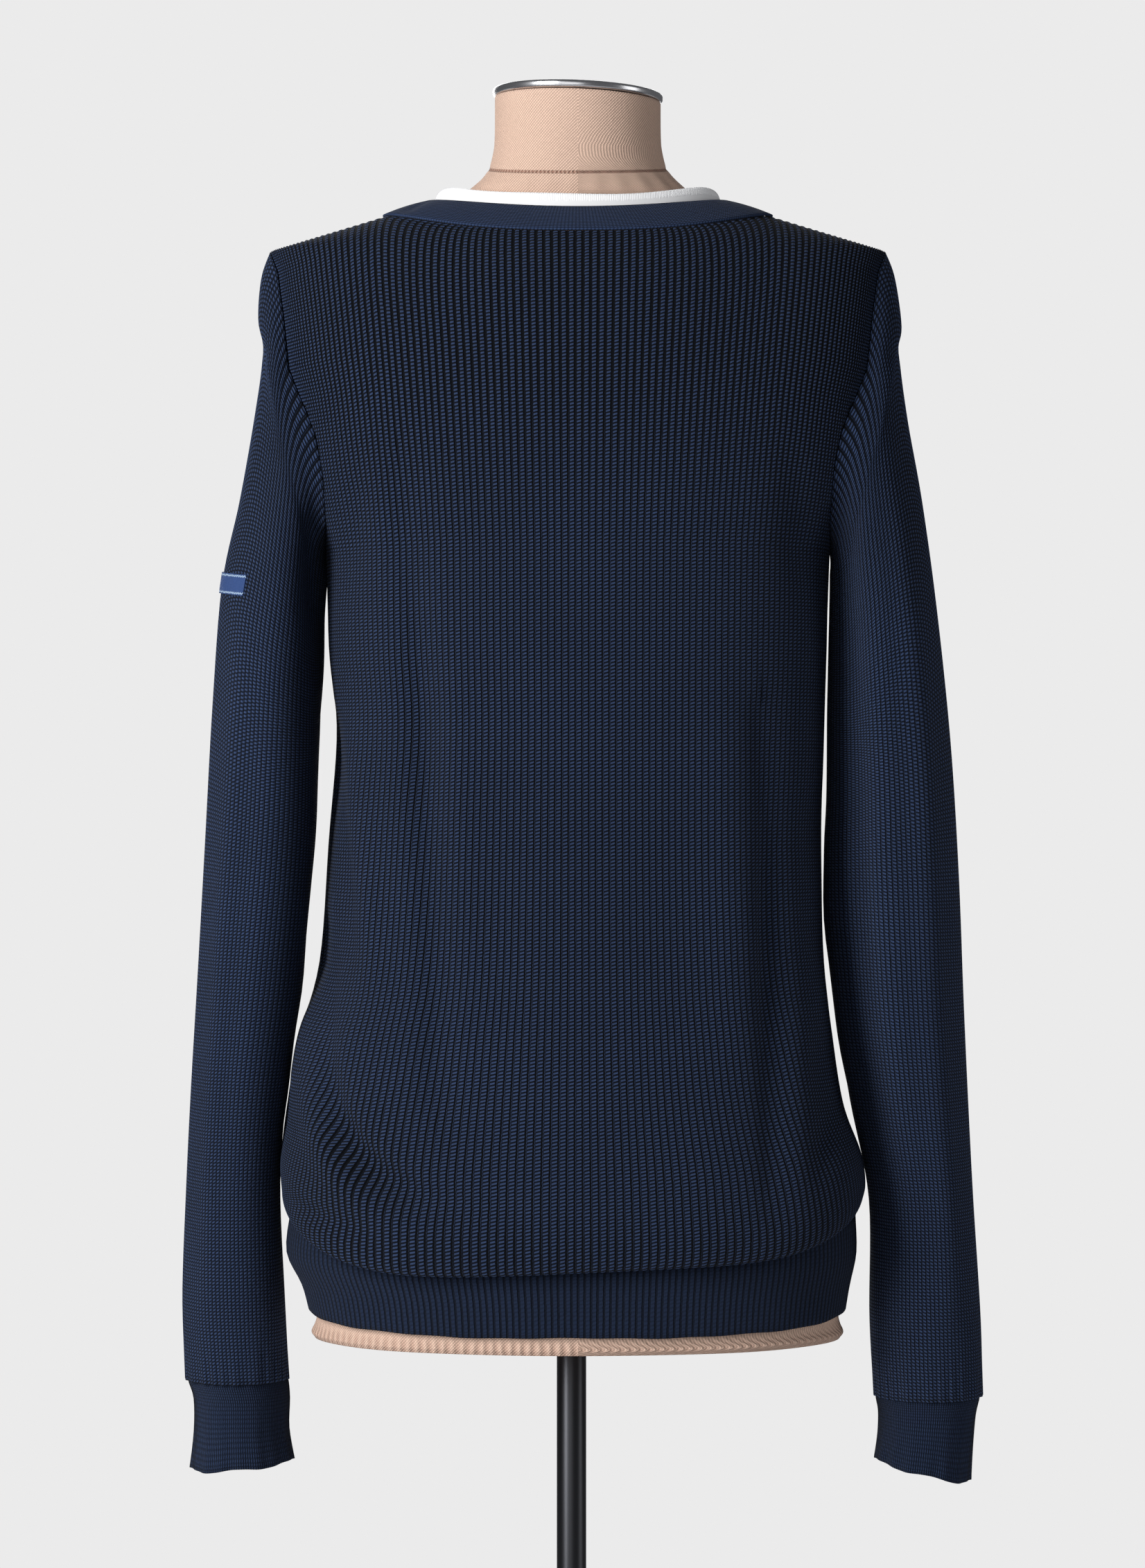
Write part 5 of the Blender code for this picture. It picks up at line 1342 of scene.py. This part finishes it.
class CARDIGAN_OT_bands(bpy.types.Operator):
    """Make the front bands, the back neckband and the white strip inside it"""
    bl_idname = "cardigan.bands"
    bl_label = "Bands and neck trim"

    def execute(self, context):
        sizes = context.scene.cardigan_sizes
        ribs = np.arange(BAND_COLUMNS + 1)
        for name, side in (("band_left", 1), ("band_right", -1)):
            seam, free = (finer(edge, BAND_POINTS) for edge in band_edges(side))
            count = min(len(seam), len(free))
            seam, free = (between(edge, np.linspace(0, len(edge) - 1, count)) for edge in (seam, free))
            points, _ = strip(seam, free, BAND_COLUMNS, sizes.band_bulge if side > 0 else 0.0, 1)
            rows = np.linspace(0, BAND_LENGTH / BAND_STITCH_ROW, count)
            obj = make_grid(name + "_rib", on_form(points, side), ribs, rows, material("band"), BAND_WALL,
                            towards=(0, -1, 0))
            declare(obj, name)
        seam, free = neckband_edges(NECKBAND_MESH_ROWS)
        points, inward = strip(seam, free, BAND_COLUMNS, -sizes.band_bulge, 1)
        turn = np.linspace(-1, 1, NECKBAND_MESH_ROWS + 1)[:, None]
        across = np.linspace(0, 1, BAND_COLUMNS + 1)[None, :]
        # The band creases where it turns up at its left corner.
        crease = np.exp(-(((turn - NECKBAND_CREASE - 0.10 * across) / 0.045) ** 2)) * np.sin(math.pi * across)
        points = points + inward * (0.0004 - 0.0012 * crease)[:, :, None]
        rows = np.linspace(0, NECKBAND_STITCHES, len(points))
        obj = make_grid("neckband_rib", on_form(points), ribs, rows, material("band"), BAND_WALL, offset=0.0,
                        towards=(0, 1, 1))
        declare(obj, "neckband")
        self.make_trim(free)
        return {"FINISHED"}

    def make_trim(self, free):
        """The strip's upper edge is a little wavy and finely scalloped."""
        cut = len(free) // TRIM_CUT
        kept = slice(cut, -cut)
        turn = np.linspace(-1, 1, len(free))
        end = np.clip((TRIM_SPAN - np.abs(turn)) / TRIM_END, 0, 1)
        end = np.sqrt(end * (2 - end))
        low = free * TRIM_LOW + (0, 0, -TRIM_TUCK)
        high = free * TRIM_HIGH
        scallop = 0.00022 * np.abs(np.sin(turn * 150)) + 0.0005 * np.sin(turn * 9 + 0.7)
        high[:, 2] += (TRIM_RISE + scallop) * end
        points, _ = strip(low[kept], high[kept], TRIM_COLUMNS, 0.0003, -1)
        ribs = np.linspace(0, 1, TRIM_COLUMNS + 1)
        obj = make_grid("neck_trim_rib", on_form(points), ribs, np.linspace(0, TRIM_STITCHES, len(points)),
                        material("trim"), TRIM_WALL, towards=(0, 1, 0))
        declare(obj, "neck_trim")


class CARDIGAN_OT_label(bpy.types.Operator):
    """Make the small woven label on the left sleeve, left blank"""
    bl_idname = "cardigan.label"
    bl_label = "Sleeve label"

    def execute(self, context):
        sizes = context.scene.cardigan_sizes
        points = sleeve_grid(LEFT_SLEEVE, LEFT_SLEEVE_FOLDS, sizes)[0][SEAM_ROWS:]
        columns = points.shape[1] - 1
        turns = np.linspace(*LABEL_TURNS, LABEL_COLUMNS + 1)
        middle = points.mean(axis=1, keepdims=True) * (1, 1, 0) + points * (0, 0, 1)
        rows = []
        for share in np.linspace(-0.5, 0.5, LABEL_ROWS + 1):
            line = []
            for degrees in turns:
                at = (degrees % 360) / 360 * columns
                i = int(at)
                stripe = points[:, i] * (1 - at + i) + points[:, (i + 1) % columns] * (at - i)
                stripe_middle = middle[:, i]
                z = LABEL_HEIGHT - LABEL_TILT * math.radians(degrees) + share * LABEL_WIDTH
                found = np.array([np.interp(-z, -stripe[:, 2], stripe[:, k]) for k in range(3)])
                inner = np.array([np.interp(-z, -stripe[:, 2], stripe_middle[:, k]) for k in range(3)])
                out = (found - inner) * (1, 1, 0)
                line.append(found + out / np.linalg.norm(out) * (LABEL_OFF + LABEL_WALL))
            rows.append(line)
        obj = make_grid("sleeve_label_woven", on_form(rows), np.linspace(0, LABEL_THREADS, LABEL_COLUMNS + 1),
                        np.linspace(0, 1, LABEL_ROWS + 1), material("label"), LABEL_WALL, towards=(1, 0, 0))
        declare(obj, "sleeve_label")
        return {"FINISHED"}


class CARDIGAN_OT_buttons(bpy.types.Operator):
    """Give the buttons their resin finish"""
    bl_idname = "cardigan.buttons"
    bl_label = "Buttons"

    def execute(self, context):
        for name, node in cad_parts.items():
            if name.startswith("button_"):
                node.data.materials.clear()
                node.data.materials.append(material("button"))
        return {"FINISHED"}


class CARDIGAN_OT_form(bpy.types.Operator):
    """Make the canvas-covered form, its neck plate, the pole and the base"""
    bl_idname = "cardigan.form"
    bl_label = "Dress form and stand"

    def execute(self, context):
        sizes = context.scene.cardigan_sizes
        turn = np.linspace(0, 2 * math.pi, FORM_SIDES + 1)
        rows = []
        runs = []
        heights = np.interp(np.linspace(0, 1, FORM_MESH_ROWS + 1), FORM_ROW_SHARES, FORM_ROW_HEIGHTS)
        sideways, backwards = np.sin(turn), np.cos(turn)
        for height in heights:
            _, half_width, back, front, power = at_height(FORM, height)
            x = half_width * np.sign(sideways) * np.abs(sideways) ** (2 / power)
            y = np.where(backwards > 0, back, front) * np.sign(backwards) * np.abs(backwards) ** (2 / power)
            above_seam = height - NECK_SEAM_HEIGHT - NECK_SEAM_SLOPE * y
            gathers = np.sin(turn * 26 + 1.5 * np.sin(turn * 3)) * np.exp(-(((above_seam + 0.007) / 0.006) ** 2))
            gathers = gathers * (0.75 + 0.5 * np.sin(turn - 2.6))
            seam = -0.0008 * np.exp(-((above_seam / 0.0011) ** 2))
            edge = 0.0006 * np.sin(turn * 9 + 1) * math.exp(-((height / 0.01) ** 2))
            off = 1 + (gathers * sizes.canvas_pucker + seam + edge) / np.hypot(x, y)
            x, y = x * off, y * off
            runs.append(np.concatenate([[0], np.cumsum(np.hypot(np.diff(x), np.diff(y)))]))
            tilted = min(max((height - NECK_TILT_FROM) / (PLATE_HEIGHT - NECK_TILT_FROM), 0), 1)
            rows.append(np.stack([x, y, height + tilted * NECK_TILT * x], axis=-1))
        obj = make_grid("form_canvas", on_form(rows), np.array(runs), heights, material("canvas"))
        self.close_ends(obj)
        declare(obj, "form")
        self.make_plate()
        for name in ("pole", "pole_collar", "base"):
            self.make_steel(name)
        return {"FINISHED"}

    def make_plate(self):
        """The round plate on the form's neck leans with it."""
        half = PLATE_THICKNESS / 2
        corner = rounded(PLATE_EDGE, (0, 22, 45, 67, 90))
        upper = [(PLATE_RADIUS - PLATE_EDGE + a, half - PLATE_EDGE + b) for a, b in corner]
        profile = [(0, half), (PLATE_RADIUS * 0.9, half), *upper, *[(r, -z) for r, z in reversed(upper)], (0, -half)]
        plate = make_turned("neck_plate_chrome", profile, 0.0, material("chrome"))
        tilt = Matrix.Rotation(-math.atan(NECK_TILT), 4, "Y")
        place = Matrix.Translation((FORM_X, 0, FORM_BOTTOM + PLATE_HEIGHT + SEAM + half))
        plate.data.transform(place @ tilt)
        declare(plate, "neck_plate")

    def make_steel(self, name):
        """A round piece of the stand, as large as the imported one."""
        low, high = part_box(name)
        centre = (low.x + high.x) / 2
        radius = (high.x - low.x) / 2
        height = high.z - low.z
        edge = min(STEEL_EDGE, height / 5)
        inside = COLLAR_BORE if name == "pole_collar" else 0.0
        corner = [(radius - edge + a, height - edge + b) for a, b in rounded(edge, (0, 30, 60, 90))]
        profile = [(inside, height), *corner, (radius, 0), (inside, 0)]
        if inside:
            profile.append((inside, height))
        piece = make_turned(name + "_steel", profile, centre, material("gunmetal"), bottom=low.z)
        declare(piece, name)

    def close_ends(self, obj):
        """Fills the form's flat ends."""
        bm = bmesh.new()
        bm.from_mesh(obj.data)
        bmesh.ops.holes_fill(bm, edges=[e for e in bm.edges if e.is_boundary], sides=0)
        bmesh.ops.recalc_face_normals(bm, faces=bm.faces)
        bm.to_mesh(obj.data)
        bm.free()


class CARDIGAN_OT_stage(bpy.types.Operator):
    """Set up the pale floor, the studio light and the camera"""
    bl_idname = "cardigan.stage"
    bl_label = "Stage"

    def execute(self, context):
        scene = context.scene
        self.floor()
        for lamp in LAMPS:
            self.light(scene, lamp)
        self.world(scene)
        camera = bpy.data.cameras.new("camera")
        camera.sensor_width = SENSOR_WIDTH
        camera.lens = CAMERA_LENS
        camera.clip_end = 60
        obj = bpy.data.objects.new("camera", camera)
        obj.location = CAMERA_PLACE
        obj.rotation_euler = (math.pi / 2, 0, math.pi)
        scene.collection.objects.link(obj)
        scene.camera = obj
        scene.view_settings.view_transform = "Standard"
        return {"FINISHED"}

    def floor(self):
        """A round of pale paper, just under the base."""
        bm = bmesh.new()
        bmesh.ops.create_circle(bm, cap_ends=True, radius=FLOOR_RADIUS, segments=96)
        bmesh.ops.translate(bm, verts=bm.verts, vec=(0, 0, -0.0005))
        made, tree, shader = new_material("floor_paper", 0.9)
        noise = noise_of(tree, texture_place(tree), 3.0, 2.0)
        paper = mixed(tree, noise, (0.78, 0.78, 0.79), (0.82, 0.82, 0.83))
        tree.links.new(paper, shader.inputs["Base Color"])
        finished("floor", bm, made, smooth=False)

    def light(self, scene, lamp):
        """A rectangular lamp that faces the garment's middle."""
        made = bpy.data.lights.new(lamp.name, "AREA")
        made.shape = "RECTANGLE"
        made.size, made.size_y = lamp.size
        made.energy = lamp.power
        obj = bpy.data.objects.new(lamp.name, made)
        obj.location = lamp.place
        obj.rotation_euler = (Vector(LAMPS_AIM) - Vector(lamp.place)).to_track_quat("-Z", "Y").to_euler()
        scene.collection.objects.link(obj)

    def world(self, scene):
        """The backdrop is pale, and lights the object a little less than it shows."""
        world = bpy.data.worlds.new("studio")
        scene.world = world
        world.use_nodes = True
        tree = world.node_tree
        tree.nodes.clear()
        seen = put(tree, "ShaderNodeBackground", (0.832, 0.830, 0.831, 1.0), 1.0)
        lighting = put(tree, "ShaderNodeBackground", (0.94, 0.96, 1.0, 1.0), 0.13)
        path = put(tree, "ShaderNodeLightPath")
        mix = put(tree, "ShaderNodeMixShader", path.outputs["Is Camera Ray"], lighting.outputs[0], seen.outputs[0])
        put(tree, "ShaderNodeOutputWorld", mix.outputs[0])


PIECES = (CARDIGAN_OT_body, CARDIGAN_OT_sleeves, CARDIGAN_OT_ribbing, CARDIGAN_OT_bands, CARDIGAN_OT_label,
          CARDIGAN_OT_buttons, CARDIGAN_OT_form, CARDIGAN_OT_stage)


class CARDIGAN_PT_panel(bpy.types.Panel):
    """Sizes, colours and pieces of the cardigan"""
    bl_idname = "CARDIGAN_PT_panel"
    bl_label = "Cardigan"
    bl_space_type = "VIEW_3D"
    bl_region_type = "UI"
    bl_category = "Cardigan"

    def draw(self, context):
        for group in (context.scene.cardigan_sizes, context.scene.cardigan_colours):
            for name in group.__annotations__:
                self.layout.prop(group, name)
        for piece in PIECES:
            self.layout.operator(piece.bl_idname)


CLASSES = (CardiganSizes, CardiganColours, *PIECES, CARDIGAN_PT_panel)


def register():
    for cls in CLASSES:
        bpy.utils.register_class(cls)
    bpy.types.Scene.cardigan_sizes = bpy.props.PointerProperty(type=CardiganSizes)
    bpy.types.Scene.cardigan_colours = bpy.props.PointerProperty(type=CardiganColours)


def unregister():
    del bpy.types.Scene.cardigan_colours
    del bpy.types.Scene.cardigan_sizes
    for cls in reversed(CLASSES):
        bpy.utils.unregister_class(cls)


def main():
    register()
    for piece in PIECES:
        group, name = piece.bl_idname.split(".")
        getattr(getattr(bpy.ops, group), name)()


if __name__ == "__main__":
    main()
